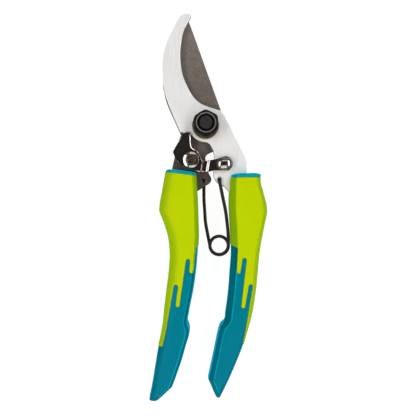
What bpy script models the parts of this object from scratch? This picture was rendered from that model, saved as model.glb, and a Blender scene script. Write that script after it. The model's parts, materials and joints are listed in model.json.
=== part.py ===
"""Bypass pruning shears, closed and latched, lying on the flat backs of their handles.

Lengths are millimetres, and MM turns them into metres where a mesh or a curve is made.  Outlines are drawn
from the pivot's centre.  The blades point along +Y, and +Z is the side with the nut and the latch.  The hook
half (hook blade and right handle) stays still, and the blade half swings about the pivot.
"""

import math

import bmesh
import bpy
from mathutils import Matrix, Vector

MM = 0.001

# Between parts that must not touch, and round a shaft that turns in its hole.
GAP = 0.3
RUNNING_CLEARANCE = 0.1

# Where the pivot stands, from the middle of the shears' outline.
PIVOT = (-0.85, 44.15)

# Heights of the layers above the surface that the shears lie on.
PLATE_THICKNESS = 3.05
BLADE_BOTTOM = 5.8
BLADE_TOP = BLADE_BOTTOM + PLATE_THICKNESS
HOOK_BOTTOM = BLADE_TOP + GAP
HOOK_TOP = HOOK_BOTTOM + PLATE_THICKNESS

# Pivot.
BOLT_RADIUS = 4.0
PIVOT_HOLE_RADIUS = BOLT_RADIUS + RUNNING_CLEARANCE
BOLT_HEAD_RADIUS = 6.6
BOLT_HEAD_HEIGHT = 3.1
BOLT_SOCKET_ACROSS = 5.0
BOLT_SOCKET_DEPTH = 2.0
BOLT_END_CHAMFER = 0.7
BOLT_STANDS_OUT = 0.5
WASHER_THICKNESS = 0.8
WASHER_RADIUS = 7.3
WASHER_TEETH = 44
WASHER_TOOTH_DEPTH = 0.5
NUT_ACROSS_FLATS = 13.0
NUT_HEIGHT = 6.5
NUT_TOP_RADIUS = 5.5
NUT_CORNER_DEGREES = 33

# Latch.
RIVET = (-7.95, -18.7)
RIVET_SHANK_RADIUS = 2.2
RIVET_HOLE_RADIUS = RIVET_SHANK_RADIUS + RUNNING_CLEARANCE
LATCH_WASHER_RADIUS = 4.2
LATCH_WASHER_THICKNESS = 0.4
LATCH_LOW_BOTTOM = BLADE_TOP + GAP + LATCH_WASHER_THICKNESS + GAP
LATCH_LOW_TOP = 12.9
LATCH_HIGH_BOTTOM = HOOK_TOP + GAP
LATCH_SHEET = 1.9
LATCH_HIGH_TOP = LATCH_HIGH_BOTTOM + LATCH_SHEET
PAD_CENTRE = (17.1, -1.9)
PAD_RADIUS = 3.7
NUB_CENTRE = (17.0, -1.9)
NUB_HALF = (4.1, 2.75, 1.9)

# Spring.
WIRE_RADIUS = 0.8
COIL_CENTRE = (6.84, -64.1)
COIL_RADIUS = 4.77
COIL_PITCH = 1.75
COIL_GAP_DEGREES = 30
SPRING_HOLE_RADIUS = 1.25
HOOK_LUG_HOLE = (7.05, -28.8)
BLADE_LUG_HOLE = (-1.2, -29.5)
HOOK_LEG_HEIGHT = HOOK_TOP + GAP + WIRE_RADIUS
BLADE_LEG_HEIGHT = BLADE_BOTTOM - GAP - WIRE_RADIUS
COIL_MIDDLE_HEIGHT = 9.0

# Cutting edge of the blade: an arc, ground back to a bevel on the side away from the hook.
EDGE_CENTRE = (33.5, 17.3)
EDGE_RADIUS = 57.0
EDGE_HEEL = (-23.1, 24.0)
EDGE_TIP = (-10.1, 54.0)
BEVEL_WIDTH = 6.0
EDGE_LAND = 0.4

# Handles.
HANDLE_THICKNESS = 18.0
SKIN = 2.0
CORNER_STEPS = 3


def clear_scene():
    """Empty the file of objects."""
    for obj in list(bpy.data.objects):
        bpy.data.objects.remove(obj, do_unlink=True)


def make_collection(name):
    """A new collection in the scene."""
    collection = bpy.data.collections.new(name)
    bpy.context.scene.collection.children.link(collection)
    return collection


def make_material(name, colour, roughness, metallic):
    """A Principled material of one colour."""
    material = bpy.data.materials.new(name)
    material.use_nodes = True
    shader = material.node_tree.nodes["Principled BSDF"]
    shader.inputs["Base Color"].default_value = (*colour, 1.0)
    shader.inputs["Roughness"].default_value = roughness
    shader.inputs["Metallic"].default_value = metallic
    return material


# Outlines ------------------------------------------------------------------------------------------------


def smooth(points, steps=3):
    """A Catmull-Rom curve through the points, with steps pieces between each two."""
    ends = [2 * Vector(points[0]) - Vector(points[1])]
    line = ends + [Vector(point) for point in points]
    line.append(2 * line[-1] - line[-2])
    curve = []
    for a, b, c, d in zip(line, line[1:], line[2:], line[3:]):
        for step in range(steps):
            t = step / steps
            square = 2 * a - 5 * b + 4 * c - d
            cube = 3 * b - a - 3 * c + d
            curve.append(b + 0.5 * ((c - a) * t + square * t**2 + cube * t**3))
    curve.append(line[-2])
    return curve


def fillet(corners, steps=3):
    """The closed outline through corners (x, y, radius), each turned into an arc of its radius."""
    outline = []
    for index, (x, y, radius) in enumerate(corners):
        corner = Vector((x, y))
        if radius == 0:
            outline.append(corner)
            continue
        back = (Vector(corners[index - 1][:2]) - corner).normalized()
        ahead = (Vector(corners[(index + 1) % len(corners)][:2]) - corner).normalized()
        half = back.angle(ahead) / 2
        centre = corner + (back + ahead).normalized() * (radius / math.sin(half))
        start = corner + back * (radius / math.tan(half)) - centre
        turn = start.angle_signed(corner + ahead * (radius / math.tan(half)) - centre)
        for step in range(steps + 1):
            outline.append(centre + Matrix.Rotation(-turn * step / steps, 2) @ start)
    return outline


def circle(centre, radius, steps=24):
    """A closed circle."""
    angles = [2 * math.pi * step / steps for step in range(steps)]
    return [Vector((centre[0] + radius * math.cos(a), centre[1] + radius * math.sin(a))) for a in angles]


def arc(centre, radius, start, end, steps):
    """Points along an arc, its angles in degrees."""
    angles = [math.radians(start + (end - start) * step / steps) for step in range(steps + 1)]
    return [Vector((centre[0] + radius * math.cos(a), centre[1] + radius * math.sin(a))) for a in angles]


def toothed(inner, outer, teeth):
    """A ring outline whose rim has teeth with straight flanks."""
    rim = []
    for tooth in range(teeth):
        for offset, radius in ((0.0, inner), (0.3, outer), (0.7, outer), (0.97, inner)):
            angle = 2 * math.pi * (tooth + offset) / teeth
            rim.append(Vector((radius * math.cos(angle), radius * math.sin(angle))))
    return rim


# Solids --------------------------------------------------------------------------------------------------


def place(obj, collection, material, parent):
    """Put the object in its collection, under its parent, with its material."""
    collection.objects.link(obj)
    obj.parent = parent
    if material:
        obj.data.materials.append(material)
    return obj


def as_cutter(obj):
    """Keep the object out of the renders."""
    obj.hide_render = True
    obj.display_type = "WIRE"
    return obj


def extruded(name, loops, low, high, grow=0.0):
    """A mesh object from flat closed outlines, the later ones holes, between two heights."""
    curve = bpy.data.curves.new(name, "CURVE")
    curve.dimensions = "2D"
    curve.fill_mode = "BOTH"
    curve.extrude = (high - low) / 2 * MM
    curve.offset = grow * MM
    for loop in loops:
        spline = curve.splines.new("POLY")
        spline.points.add(len(loop) - 1)
        for point, (x, y) in zip(spline.points, loop):
            point.co = (x * MM, y * MM, 0.0, 1.0)
        spline.use_cyclic_u = True
    outline = bpy.data.objects.new(name + "_outline", curve)
    bpy.context.scene.collection.objects.link(outline)
    graph = bpy.context.evaluated_depsgraph_get()
    mesh = bpy.data.meshes.new_from_object(outline.evaluated_get(graph))
    bpy.data.objects.remove(outline, do_unlink=True)
    work = bmesh.new()
    work.from_mesh(mesh)
    bmesh.ops.remove_doubles(work, verts=work.verts, dist=0.00001)
    bmesh.ops.translate(work, verts=work.verts, vec=(0.0, 0.0, (high + low) / 2 * MM))
    bmesh.ops.recalc_face_normals(work, faces=work.faces)
    work.to_mesh(mesh)
    work.free()
    mesh.name = name
    return bpy.data.objects.new(name, mesh)


def turned(name, profile, steps=32):
    """A turned object from a profile of (radius, height), running down its outer side."""
    mesh = bpy.data.meshes.new(name)
    points = [(radius * MM, 0.0, height * MM) for radius, height in profile]
    mesh.from_pydata(points, [(index, index + 1) for index in range(len(points) - 1)], [])
    obj = bpy.data.objects.new(name, mesh)
    screw = obj.modifiers.new("turn", "SCREW")
    screw.steps = steps
    screw.render_steps = steps
    screw.use_merge_vertices = True
    screw.merge_threshold = 0.00001
    return obj


def hollow_turned(name, profile, steps=32):
    """A turned ring: the profile closes on itself instead of meeting the axis."""
    return turned(name, profile + profile[:1], steps)


def wire(name, points):
    """A round wire along the points."""
    curve = bpy.data.curves.new(name, "CURVE")
    curve.dimensions = "3D"
    curve.bevel_depth = WIRE_RADIUS * MM
    curve.bevel_resolution = 2
    curve.use_fill_caps = True
    spline = curve.splines.new("POLY")
    spline.points.add(len(points) - 1)
    for point, (x, y, z) in zip(spline.points, points):
        point.co = (x * MM, y * MM, z * MM, 1.0)
    return bpy.data.objects.new(name, curve)


def boolean(obj, other, operation):
    """Cut, keep or join the object with another."""
    modifier = obj.modifiers.new(operation.lower(), "BOOLEAN")
    modifier.operation = operation
    modifier.object = other
    modifier.solver = "EXACT"


def shade(obj):
    """Round faces smooth, with sharp edges kept."""
    if obj.type == "MESH":
        obj.data.shade_smooth()
        obj.data.set_sharp_from_angle(angle=math.radians(35))


# Blades --------------------------------------------------------------------------------------------------


def hook_outline():
    """The hook blade: hook, pivot boss, spring lug and tang."""
    low_back = [(-13.6, -3.9), (-19.9, 10.9), (-22.5, 20.5), (-22.9, 33.4)]
    back = low_back + [(-21.0, 42.6), (-15.3, 54.6), (-12.6, 58.0)]
    tip = [Vector((-10.0, 58.6)), Vector((-7.9, 57.8))]
    mouth = smooth(
        [(-8.7, 55.3), (-12.6, 47.7), (-13.9, 38.5), (-13.2, 28.8), (-8.0, 16.2), (-3.3, 11.6), (2.0, 9.0)]
    )
    shoulder = [Vector((7.6, 7.1))] + smooth([(11.2, 3.7), (15.9, -5.6), (20.6, -15.8), (21.8, -21.0)])
    tang = [(21.5, -34.0, 0), (21.0, -60.0, 0), (20.0, -74.0, 1.6), (16.6, -74.0, 1.6), (15.7, -58.0, 0)]
    lug = [Vector((13.8, -37.5))] + smooth([(9.9, -33.1), (5.7, -30.5), (3.9, -27.4), (3.8, -24.7)])
    relief = [Vector((4.1, -16.0)), Vector((3.4, -13.0)), Vector((2.0, -10.4))]
    hub = arc((0, 0), 9.25, 272, 216, 6)
    return smooth(back) + tip + mouth + shoulder + fillet(tang) + lug + relief + hub


def blade_outline():
    """The cutting blade: edge, straight back, pivot boss, spring lug and tang."""
    tip = [Vector((-9.6, 54.6)), Vector((-8.7, 55.2))]
    shoulder = [Vector((8.0, 7.4))] + smooth([(10.0, 1.5), (9.6, -4.0), (6.7, -10.9), (3.6, -13.8)])
    neck = smooth([(0.6, -15.2), (-0.4, -17.0), (0.2, -20.5)])
    lug = smooth([(1.4, -25.5), (2.8, -28.4), (1.9, -30.7), (-1.0, -32.6), (-5.6, -35.6)])
    tang = [(-8.2, -46.0, 0), (-9.4, -60.0, 0), (-10.8, -72.0, 1.6), (-14.2, -72.0, 1.6), (-18.2, -36.0, 0)]
    side = [(-18.4, -24.0), (-17.5, -19.8), (-14.3, -6.9), (-13.9, -4.2), (-20.6, 10.9), (-22.9, 20.0)]
    edge = arc(EDGE_CENTRE, EDGE_RADIUS, edge_angle(*EDGE_HEEL), edge_angle(*EDGE_TIP), 12)
    return tip + shoulder + neck + lug + fillet(tang) + smooth(side) + edge


def edge_angle(x, y):
    """The angle of a point about the cutting edge's centre, in degrees."""
    return math.degrees(math.atan2(y - EDGE_CENTRE[1], x - EDGE_CENTRE[0]))


def edge_cutter():
    """The wedge that grinds the bevel behind the cutting edge, swept along the edge's arc."""
    rise = (PLATE_THICKNESS - EDGE_LAND) / BEVEL_WIDTH
    inner = EDGE_RADIUS - BEVEL_WIDTH
    outer = EDGE_RADIUS + 1.5
    low = BLADE_BOTTOM - 1.0
    top = BLADE_BOTTOM + (outer - inner) * rise
    work = bmesh.new()
    profile = [(outer, top), (outer, low), (inner - 1.0 / rise, low)]
    corners = [work.verts.new((radius * MM, 0.0, height * MM)) for radius, height in profile]
    work.faces.new(corners)
    start = edge_angle(*EDGE_TIP) - 3.0
    turn = edge_angle(*EDGE_HEEL) + 4.0 - start
    bmesh.ops.rotate(work, verts=work.verts, matrix=Matrix.Rotation(math.radians(start), 3, "Z"))
    whole = work.verts[:] + work.edges[:] + work.faces[:]
    bmesh.ops.spin(work, geom=whole, axis=(0.0, 0.0, 1.0), angle=math.radians(turn), steps=16)
    bmesh.ops.recalc_face_normals(work, faces=work.faces)
    mesh = bpy.data.meshes.new("edge_cutter")
    work.to_mesh(mesh)
    work.free()
    obj = bpy.data.objects.new("edge_cutter", mesh)
    obj.location = (EDGE_CENTRE[0] * MM, EDGE_CENTRE[1] * MM, 0.0)
    return as_cutter(obj)


def hook_blade(parts, parent, material):
    """The hook blade's plate, with its pivot hole and spring hole."""
    holes = [circle((0, 0), PIVOT_HOLE_RADIUS), circle(HOOK_LUG_HOLE, SPRING_HOLE_RADIUS, 16)]
    plate = extruded("hook_blade", [hook_outline()] + holes, HOOK_BOTTOM, HOOK_TOP)
    return place(plate, parts, material, parent)


def cutting_blade(parts, cutters, parent, material):
    """The cutting blade's plate, with its bevel, pivot hole, rivet hole and spring hole."""
    holes = [
        circle((0, 0), PIVOT_HOLE_RADIUS),
        circle(RIVET, RIVET_HOLE_RADIUS),
        circle(BLADE_LUG_HOLE, SPRING_HOLE_RADIUS, 16),
    ]
    plate = extruded("cutting_blade", [blade_outline()] + holes, BLADE_BOTTOM, BLADE_TOP)
    boolean(plate, place(edge_cutter(), cutters, None, parent), "DIFFERENCE")
    return place(plate, parts, material, parent)


# Pivot ---------------------------------------------------------------------------------------------------


def pivot_bolt(parts, cutters, parent, material):
    """The bolt: low round head behind, socket in the head, shank through both plates and the nut."""
    washer_low = BLADE_BOTTOM - GAP - WASHER_THICKNESS
    head_top = washer_low - GAP
    head_low = head_top - BOLT_HEAD_HEIGHT
    end = HOOK_TOP + 2 * GAP + WASHER_THICKNESS + NUT_HEIGHT + BOLT_STANDS_OUT
    profile = [
        (0.0, end),
        (BOLT_RADIUS - BOLT_END_CHAMFER, end),
        (BOLT_RADIUS, end - BOLT_END_CHAMFER),
        (BOLT_RADIUS, head_top),
        (BOLT_HEAD_RADIUS, head_top),
        (BOLT_HEAD_RADIUS, head_low + 1.2),
        (BOLT_HEAD_RADIUS - 1.4, head_low),
        (0.0, head_low),
    ]
    bolt = turned("pivot_bolt", profile)
    socket = circle((0, 0), BOLT_SOCKET_ACROSS / math.sqrt(3), 6)
    cutter = extruded("bolt_socket", [socket], head_low - 1.0, head_low + BOLT_SOCKET_DEPTH)
    boolean(bolt, place(as_cutter(cutter), cutters, None, parent), "DIFFERENCE")
    return place(bolt, parts, material, parent)


def bolt_washer(parts, parent, material):
    """The plain washer under the bolt's head."""
    top = BLADE_BOTTOM - GAP
    low = top - WASHER_THICKNESS
    inner = BOLT_RADIUS + GAP
    profile = [(inner, low), (inner, top), (WASHER_RADIUS, top), (WASHER_RADIUS, low)]
    return place(hollow_turned("bolt_washer", profile), parts, material, parent)


def lock_washer(parts, parent, material):
    """The toothed washer between the hook blade and the nut."""
    low = HOOK_TOP + GAP
    rim = toothed(WASHER_RADIUS - WASHER_TOOTH_DEPTH, WASHER_RADIUS, WASHER_TEETH)
    loops = [rim, circle((0, 0), BOLT_RADIUS + GAP)]
    return place(extruded("lock_washer", loops, low, low + WASHER_THICKNESS), parts, material, parent)


def pivot_nut(parts, cutters, parent, material):
    """The hexagon nut, chamfered at both ends."""
    low = HOOK_TOP + 2 * GAP + WASHER_THICKNESS
    top = low + NUT_HEIGHT
    corner = NUT_ACROSS_FLATS / math.sqrt(3)
    nut = extruded("pivot_nut", [circle((0, 0), corner, 6), circle((0, 0), BOLT_RADIUS + GAP)], low, top)
    nut.data.transform(Matrix.Rotation(math.radians(NUT_CORNER_DEGREES), 4, "Z"))
    chamfer = [
        (0.0, top + 1.0),
        (NUT_TOP_RADIUS, top + 1.0),
        (NUT_TOP_RADIUS, top),
        (corner + 0.5, top - 1.6),
        (corner + 0.5, low + 0.6),
        (corner - 0.7, low),
        (corner - 0.7, low - 1.0),
        (0.0, low - 1.0),
    ]
    boolean(nut, place(as_cutter(turned("nut_chamfer", chamfer)), cutters, None, parent), "INTERSECT")
    return place(nut, parts, material, parent)


# Latch ---------------------------------------------------------------------------------------------------


def latch_low_outline():
    """The part of the latch that lies on the cutting blade's plate, drawn from the rivet."""
    right = arc((0, 0), 6.3, -20, 85, 8)
    left = [(-3.0, 6.3), (-9.0, 6.0), (-9.9, 4.1), (-7.5, -0.6), (-5.4, -3.3), (-3.8, -4.6), (5.0, -5.7)]
    return right + smooth(left, 2)


def latch_nose_outline():
    """The nose of the latch, which stands over the hook blade's shoulder, drawn from the rivet."""
    flank = [Vector((-9.0, 4.8)), Vector((-9.0, 6.4)), Vector((-4.3, 13.4))]
    peak = [Vector((-2.9, 14.3)), Vector((-1.7, 14.6)), Vector((-0.2, 13.4)), Vector((-0.5, 12.4))]
    inner = smooth([(0.0, 9.0), (0.6, 6.6), (3.1, 4.9)], 2)
    return flank + peak + inner + arc((0, 0), 4.6, 60, 130, 5)


def latch_arm_outline():
    """The arm of the latch, which reaches over the hook blade's plate, drawn from the rivet."""
    upper = smooth([(5.0, 0.8), (6.6, -0.5), (10.8, 0.0), (15.0, 0.9)], 2)
    pad = arc(PAD_CENTRE, PAD_RADIUS, 75, -75, 8)
    under = [Vector((11.7, -5.5)), Vector((8.1, -5.9)), Vector((4.6, -5.6))]
    return upper + pad + under + arc((0, 0), 4.6, -40, 0, 3)


def latch_part(name, outline, cutters, parent):
    """A raised part of the latch, for joining to its low plate."""
    raised = extruded(name, [outline], LATCH_HIGH_BOTTOM, LATCH_HIGH_TOP)
    return place(as_cutter(raised), cutters, None, parent)


def latch_nub(cutters, parent):
    """The domed thumb nub at the end of the arm."""
    work = bmesh.new()
    bmesh.ops.create_uvsphere(work, u_segments=20, v_segments=10, radius=MM)
    bmesh.ops.scale(work, verts=work.verts, vec=NUB_HALF)
    bmesh.ops.translate(work, verts=work.verts, vec=Vector((*NUB_CENTRE, LATCH_HIGH_TOP - 0.1)) * MM)
    mesh = bpy.data.meshes.new("latch_nub")
    work.to_mesh(mesh)
    work.free()
    return place(as_cutter(bpy.data.objects.new("latch_nub", mesh)), cutters, None, parent)


def latch_lever(parts, cutters, parent, material):
    """The latch: a low plate round the rivet, a raised nose and arm, and a domed thumb nub."""
    hole = circle((0, 0), RIVET_HOLE_RADIUS)
    lever = extruded("latch_lever", [latch_low_outline(), hole], LATCH_LOW_BOTTOM, LATCH_LOW_TOP)
    boolean(lever, latch_part("latch_nose", latch_nose_outline(), cutters, parent), "UNION")
    boolean(lever, latch_part("latch_arm", latch_arm_outline(), cutters, parent), "UNION")
    boolean(lever, latch_nub(cutters, parent), "UNION")
    return place(lever, parts, material, parent)


def latch_washer(parts, parent, material):
    """The friction washer between the latch and the cutting blade's plate."""
    low = BLADE_TOP + GAP
    inner = RIVET_SHANK_RADIUS + GAP
    outer = LATCH_WASHER_RADIUS
    high = low + LATCH_WASHER_THICKNESS
    profile = [(inner, low), (inner, high), (outer, high), (outer, low)]
    washer = hollow_turned("latch_washer", profile, 24)
    return place(washer, parts, material, parent)


def latch_rivet(parts, parent, material):
    """The rivet: stepped head in front, shank, and a formed tail behind the plate."""
    flange = LATCH_LOW_TOP + GAP
    tail = BLADE_BOTTOM - GAP
    shank = RIVET_SHANK_RADIUS
    profile = [
        (0.0, flange + 1.7),
        (0.7, flange + 1.7),
        (0.9, flange + 2.2),
        (2.2, flange + 2.2),
        (2.6, flange + 1.8),
        (2.6, flange + 1.0),
        (3.9, flange + 0.8),
        (4.2, flange + 0.4),
        (4.2, flange),
        (shank, flange),
        (shank, tail),
        (3.6, tail),
        (3.6, tail - 0.5),
        (2.6, tail - 1.1),
        (0.0, tail - 1.2),
    ]
    return place(turned("latch_rivet", profile, 28), parts, material, parent)


# Spring --------------------------------------------------------------------------------------------------


def ease(t):
    """A smooth step from 0 to 1."""
    return t * t * (3 - 2 * t)


def coil_point(degrees, height):
    """A point of the coil at an angle about its centre."""
    angle = math.radians(degrees)
    x = COIL_CENTRE[0] + COIL_RADIUS * math.cos(angle)
    y = COIL_CENTRE[1] + COIL_RADIUS * math.sin(angle)
    return (x, y, height)


def leg(route, top_height, coil_height, flat):
    """A leg from its lug down to the coil: level for the flat share of its points, then easing over."""
    line = smooth(route, 3)
    points = []
    for index, (x, y) in enumerate(line):
        t = max(0.0, index / (len(line) - 1) - flat) / (1 - flat)
        points.append((x, y, top_height + (coil_height - top_height) * ease(t)))
    return points


def hooked_end(hole, end_height, leg_height):
    """The end of a leg, which dips into its lug's hole and turns down the leg."""
    bend = 1.2
    side = math.copysign(bend, leg_height - end_height)
    points = [(hole[0], hole[1], end_height)]
    for step in range(4):
        angle = math.radians(30 * step)
        lift = leg_height - side * (1 - math.sin(angle))
        points.append((hole[0], hole[1] - bend * (1 - math.cos(angle)), lift))
    return points


def spring_coil(parts, parent, material):
    """The coil with the leg that is hooked into the hook blade's lug."""
    top = COIL_MIDDLE_HEIGHT + 0.75 * COIL_PITCH
    route = [(7.3, -31.2), (8.9, -39.0), (10.2, -45.4), (11.1, -52.0), (11.6, -58.5), (11.61, -64.1)]
    points = hooked_end(HOOK_LUG_HOLE, HOOK_BOTTOM + 0.6, HOOK_LEG_HEIGHT)
    points += leg(route, HOOK_LEG_HEIGHT, top, 0.25)
    turn = 540 - COIL_GAP_DEGREES
    steps = 30
    for step in range(1, steps + 1):
        degrees = turn * step / steps
        points.append(coil_point(-degrees, top - COIL_PITCH * degrees / 360))
    return place(wire("spring_coil", points), parts, material, parent)


def spring_leg(parts, parent, material):
    """The other leg, hooked into the cutting blade's lug from behind."""
    low = COIL_MIDDLE_HEIGHT - 0.75 * COIL_PITCH
    route = [(-1.2, -32.0), (-1.2, -39.0), (-0.8, -45.4), (-0.3, -52.0), (0.9, -58.5), (2.07, -64.1)]
    points = hooked_end(BLADE_LUG_HOLE, BLADE_TOP - 0.6, BLADE_LEG_HEIGHT)
    points += leg(route, BLADE_LEG_HEIGHT, low, 0.35)
    return place(wire("spring_leg", points), parts, material, parent)


# Handles -------------------------------------------------------------------------------------------------

# Each rib of a handle: its outer end, its inner end and its thickness.  The first two are the collar.
LEFT_RIBS = (
    ((-20.6, -24.1), (-5.7, -25.9), 16.8),
    ((-21.3, -24.9), (-5.2, -26.6), 18.0),
    ((-21.5, -25.9), (-5.2, -27.6), 18.0),
    ((-22.9, -34.0), (-4.8, -35.0), 18.0),
    ((-24.4, -42.4), (-4.4, -43.0), 18.0),
    ((-24.6, -45.2), (-4.3, -46.0), 18.0),
    ((-23.0, -49.6), (-4.2, -50.5), 18.0),
    ((-20.2, -58.1), (-4.0, -58.6), 18.0),
    ((-19.1, -67.6), (-4.4, -67.6), 18.0),
    ((-19.6, -77.2), (-5.2, -77.2), 18.0),
    ((-20.8, -86.7), (-6.5, -86.7), 17.8),
    ((-22.3, -99.4), (-8.9, -99.0), 17.5),
    ((-22.8, -104.4), (-9.6, -104.2), 17.3),
    ((-23.3, -107.4), (-8.6, -107.4), 17.2),
    ((-23.7, -109.6), (-8.6, -109.4), 17.1),
    ((-25.2, -116.5), (-10.4, -116.2), 16.8),
    ((-26.9, -126.0), (-13.1, -125.6), 16.4),
    ((-28.3, -134.4), (-16.1, -134.2), 16.0),
    ((-29.0, -138.4), (-17.6, -138.2), 15.8),
    ((-29.9, -142.8), (-22.2, -142.6), 15.4),
    ((-30.2, -145.2), (-25.2, -145.6), 13.8),
    ((-29.4, -146.7), (-26.6, -146.9), 10.0),
)
RIGHT_RIBS = (
    ((26.9, -26.0), (14.3, -26.4), 16.8),
    ((28.6, -26.8), (12.9, -27.0), 18.0),
    ((29.0, -28.0), (12.6, -28.2), 18.0),
    ((28.3, -30.0), (12.3, -30.0), 18.0),
    ((30.0, -36.0), (12.2, -36.0), 18.0),
    ((31.7, -43.0), (12.1, -43.0), 18.0),
    ((31.9, -45.6), (12.2, -45.6), 18.0),
    ((31.1, -50.5), (12.5, -50.5), 18.0),
    ((29.5, -58.1), (12.9, -58.1), 18.0),
    ((27.9, -67.6), (13.0, -67.6), 18.0),
    ((27.0, -77.2), (12.3, -77.2), 18.0),
    ((26.1, -86.7), (11.6, -86.7), 17.8),
    ((24.1, -99.4), (10.0, -99.4), 17.5),
    ((23.2, -103.4), (9.4, -103.4), 17.3),
    ((22.3, -106.4), (7.2, -106.2), 17.2),
    ((21.6, -109.0), (6.3, -109.0), 17.1),
    ((19.4, -116.4), (4.7, -116.4), 16.8),
    ((15.7, -126.0), (2.7, -126.0), 16.4),
    ((12.6, -133.2), (1.1, -133.2), 16.0),
    ((11.1, -136.6), (1.7, -136.0), 15.8),
    ((9.2, -140.6), (3.4, -140.2), 15.4),
    ((7.7, -143.7), (4.9, -143.6), 13.8),
    ((7.0, -145.0), (5.9, -145.0), 10.0),
)

# Corner roundings of a rib, along it and through it: at the outer side and at the inner side.
OUTER_ROUNDING = (5.4, 5.0)
LEFT_INNER_ROUNDING = (1.9, 4.2)
RIGHT_INNER_ROUNDING = (3.4, 5.0)

# The soft skin's edge: inner side first, round two fingers, and out past the strip along the outer side.
LEFT_SKIN = (
    (5.0, -28.9, 0),
    (5.0, -64.8, 0),
    (-5.2, -64.8, 0.6),
    (-6.6, -78.9, 1.1),
    (-9.3, -78.9, 1.1),
    (-8.7, -71.4, 0.8),
    (-10.4, -71.4, 0.8),
    (-14.1, -97.0, 1.05),
    (-16.6, -97.0, 1.05),
    (-15.1, -85.1, 0.8),
    (-17.0, -85.1, 0.8),
    (-21.0, -108.0, 0),
    (-23.4, -118.6, 0.8),
    (-40.0, -118.6, 0),
    (-40.0, -24.2, 0),
)
RIGHT_SKIN = (
    (4.0, -28.6, 0),
    (4.0, -64.2, 0),
    (13.2, -64.2, 0),
    (16.1, -65.4, 0.5),
    (15.9, -79.1, 1.0),
    (18.4, -79.1, 1.0),
    (19.6, -70.9, 0.8),
    (21.5, -70.9, 0.8),
    (18.4, -97.5, 1.05),
    (20.9, -97.5, 1.05),
    (23.0, -84.8, 0.8),
    (24.9, -84.8, 0.8),
    (21.3, -107.0, 0),
    (19.4, -117.4, 0.6),
    (45.0, -117.4, 0),
    (45.0, -28.0, 0),
)


def corner_points(centre, reach, start):
    """A quarter of an ellipse about a point, in the rib's own plane, its first angle in degrees."""
    angles = [math.radians(start + 90 * step / CORNER_STEPS) for step in range(CORNER_STEPS + 1)]
    return [(centre[0] + reach[0] * math.cos(a), centre[1] + reach[1] * math.sin(a)) for a in angles]


def rib_section(width, thickness, outer, inner, inset):
    """The section of a rib, as (distance from its outer end, height), with all sides moved in by inset."""
    share = min(1.0, 0.46 * width / outer[0])
    outer = [max(0.4, reach * share - inset) for reach in outer]
    inner = [max(0.4, reach * share - inset) for reach in inner]
    near, far = inset, width - inset
    low, high = inset, thickness - inset
    return (
        corner_points((far - inner[0], high - inner[1]), inner, 0)
        + corner_points((near + outer[0], high - outer[1]), outer, 90)
        + corner_points((near + outer[0], low + outer[1]), outer, 180)
        + corner_points((far - inner[0], low + inner[1]), inner, 270)
    )


def handle_solid(name, ribs, inner_rounding, inset):
    """A handle's body lofted through its ribs, closed at both ends."""
    work = bmesh.new()
    rings = []
    for outer_end, inner_end, thickness in ribs:
        start = Vector(outer_end)
        along = Vector(inner_end) - start
        if along.length < 5 * inset:
            continue
        section = rib_section(along.length, thickness, OUTER_ROUNDING, inner_rounding, inset)
        along.normalize()
        spots = [(*(start + along * across), height) for across, height in section]
        rings.append([work.verts.new(Vector(spot) * MM) for spot in spots])
    for ring, following in zip(rings, rings[1:]):
        for index in range(len(ring)):
            after = (index + 1) % len(ring)
            work.faces.new((ring[index], ring[after], following[after], following[index]))
    work.faces.new(rings[0])
    work.faces.new(rings[-1])
    bmesh.ops.recalc_face_normals(work, faces=work.faces)
    mesh = bpy.data.meshes.new(name)
    work.to_mesh(mesh)
    work.free()
    return bpy.data.objects.new(name, mesh)


def handle(side, ribs, rounding, skin, tang, parts, cutters, parent, materials):
    """One handle: the hard core with its collar, and the soft skin that wraps it."""
    core_material, grip_material = materials
    grip_name = side + "_handle_grip"
    core_name = side + "_handle_core"
    grip = handle_solid(grip_name, ribs, rounding, 0.0)
    boolean(grip, skin_prism(side + "_skin_area", skin, 0.0, cutters, parent), "INTERSECT")
    inside = handle_solid(side + "_skin_inside", ribs, rounding, SKIN)
    boolean(grip, place(as_cutter(inside), cutters, None, parent), "DIFFERENCE")
    core = handle_solid(core_name, ribs, rounding, 0.0)
    recess = skin_prism(side + "_skin_recess", skin, GAP, cutters, parent)
    hub = handle_solid(side + "_core_inside", ribs, rounding, SKIN + GAP)
    boolean(recess, place(as_cutter(hub), cutters, None, parent), "DIFFERENCE")
    boolean(core, recess, "DIFFERENCE")
    boolean(grip, tang, "DIFFERENCE")
    boolean(core, tang, "DIFFERENCE")
    place(core, parts, core_material, parent)
    place(grip, parts, grip_material, parent)


def skin_prism(name, corners, grow, cutters, parent):
    """The space above and below the skin's area, its edges moved out by grow."""
    prism = extruded(name, [fillet(corners)], -2.0, HANDLE_THICKNESS + 2.0, grow)
    return place(as_cutter(prism), cutters, None, parent)


def tang_pocket(name, outline, low, high, cutters, parent):
    """The room that a plate needs inside its handle."""
    pocket = extruded(name, [outline], low - GAP, high + GAP, GAP)
    return place(as_cutter(pocket), cutters, None, parent)


# Assembly ------------------------------------------------------------------------------------------------


def make_axis(name, at, collection):
    """An empty on a joint's axis."""
    empty = bpy.data.objects.new(name, None)
    empty.empty_display_size = 0.01
    empty.location = (at[0] * MM, at[1] * MM, 0.0)
    collection.objects.link(empty)
    return empty


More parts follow.
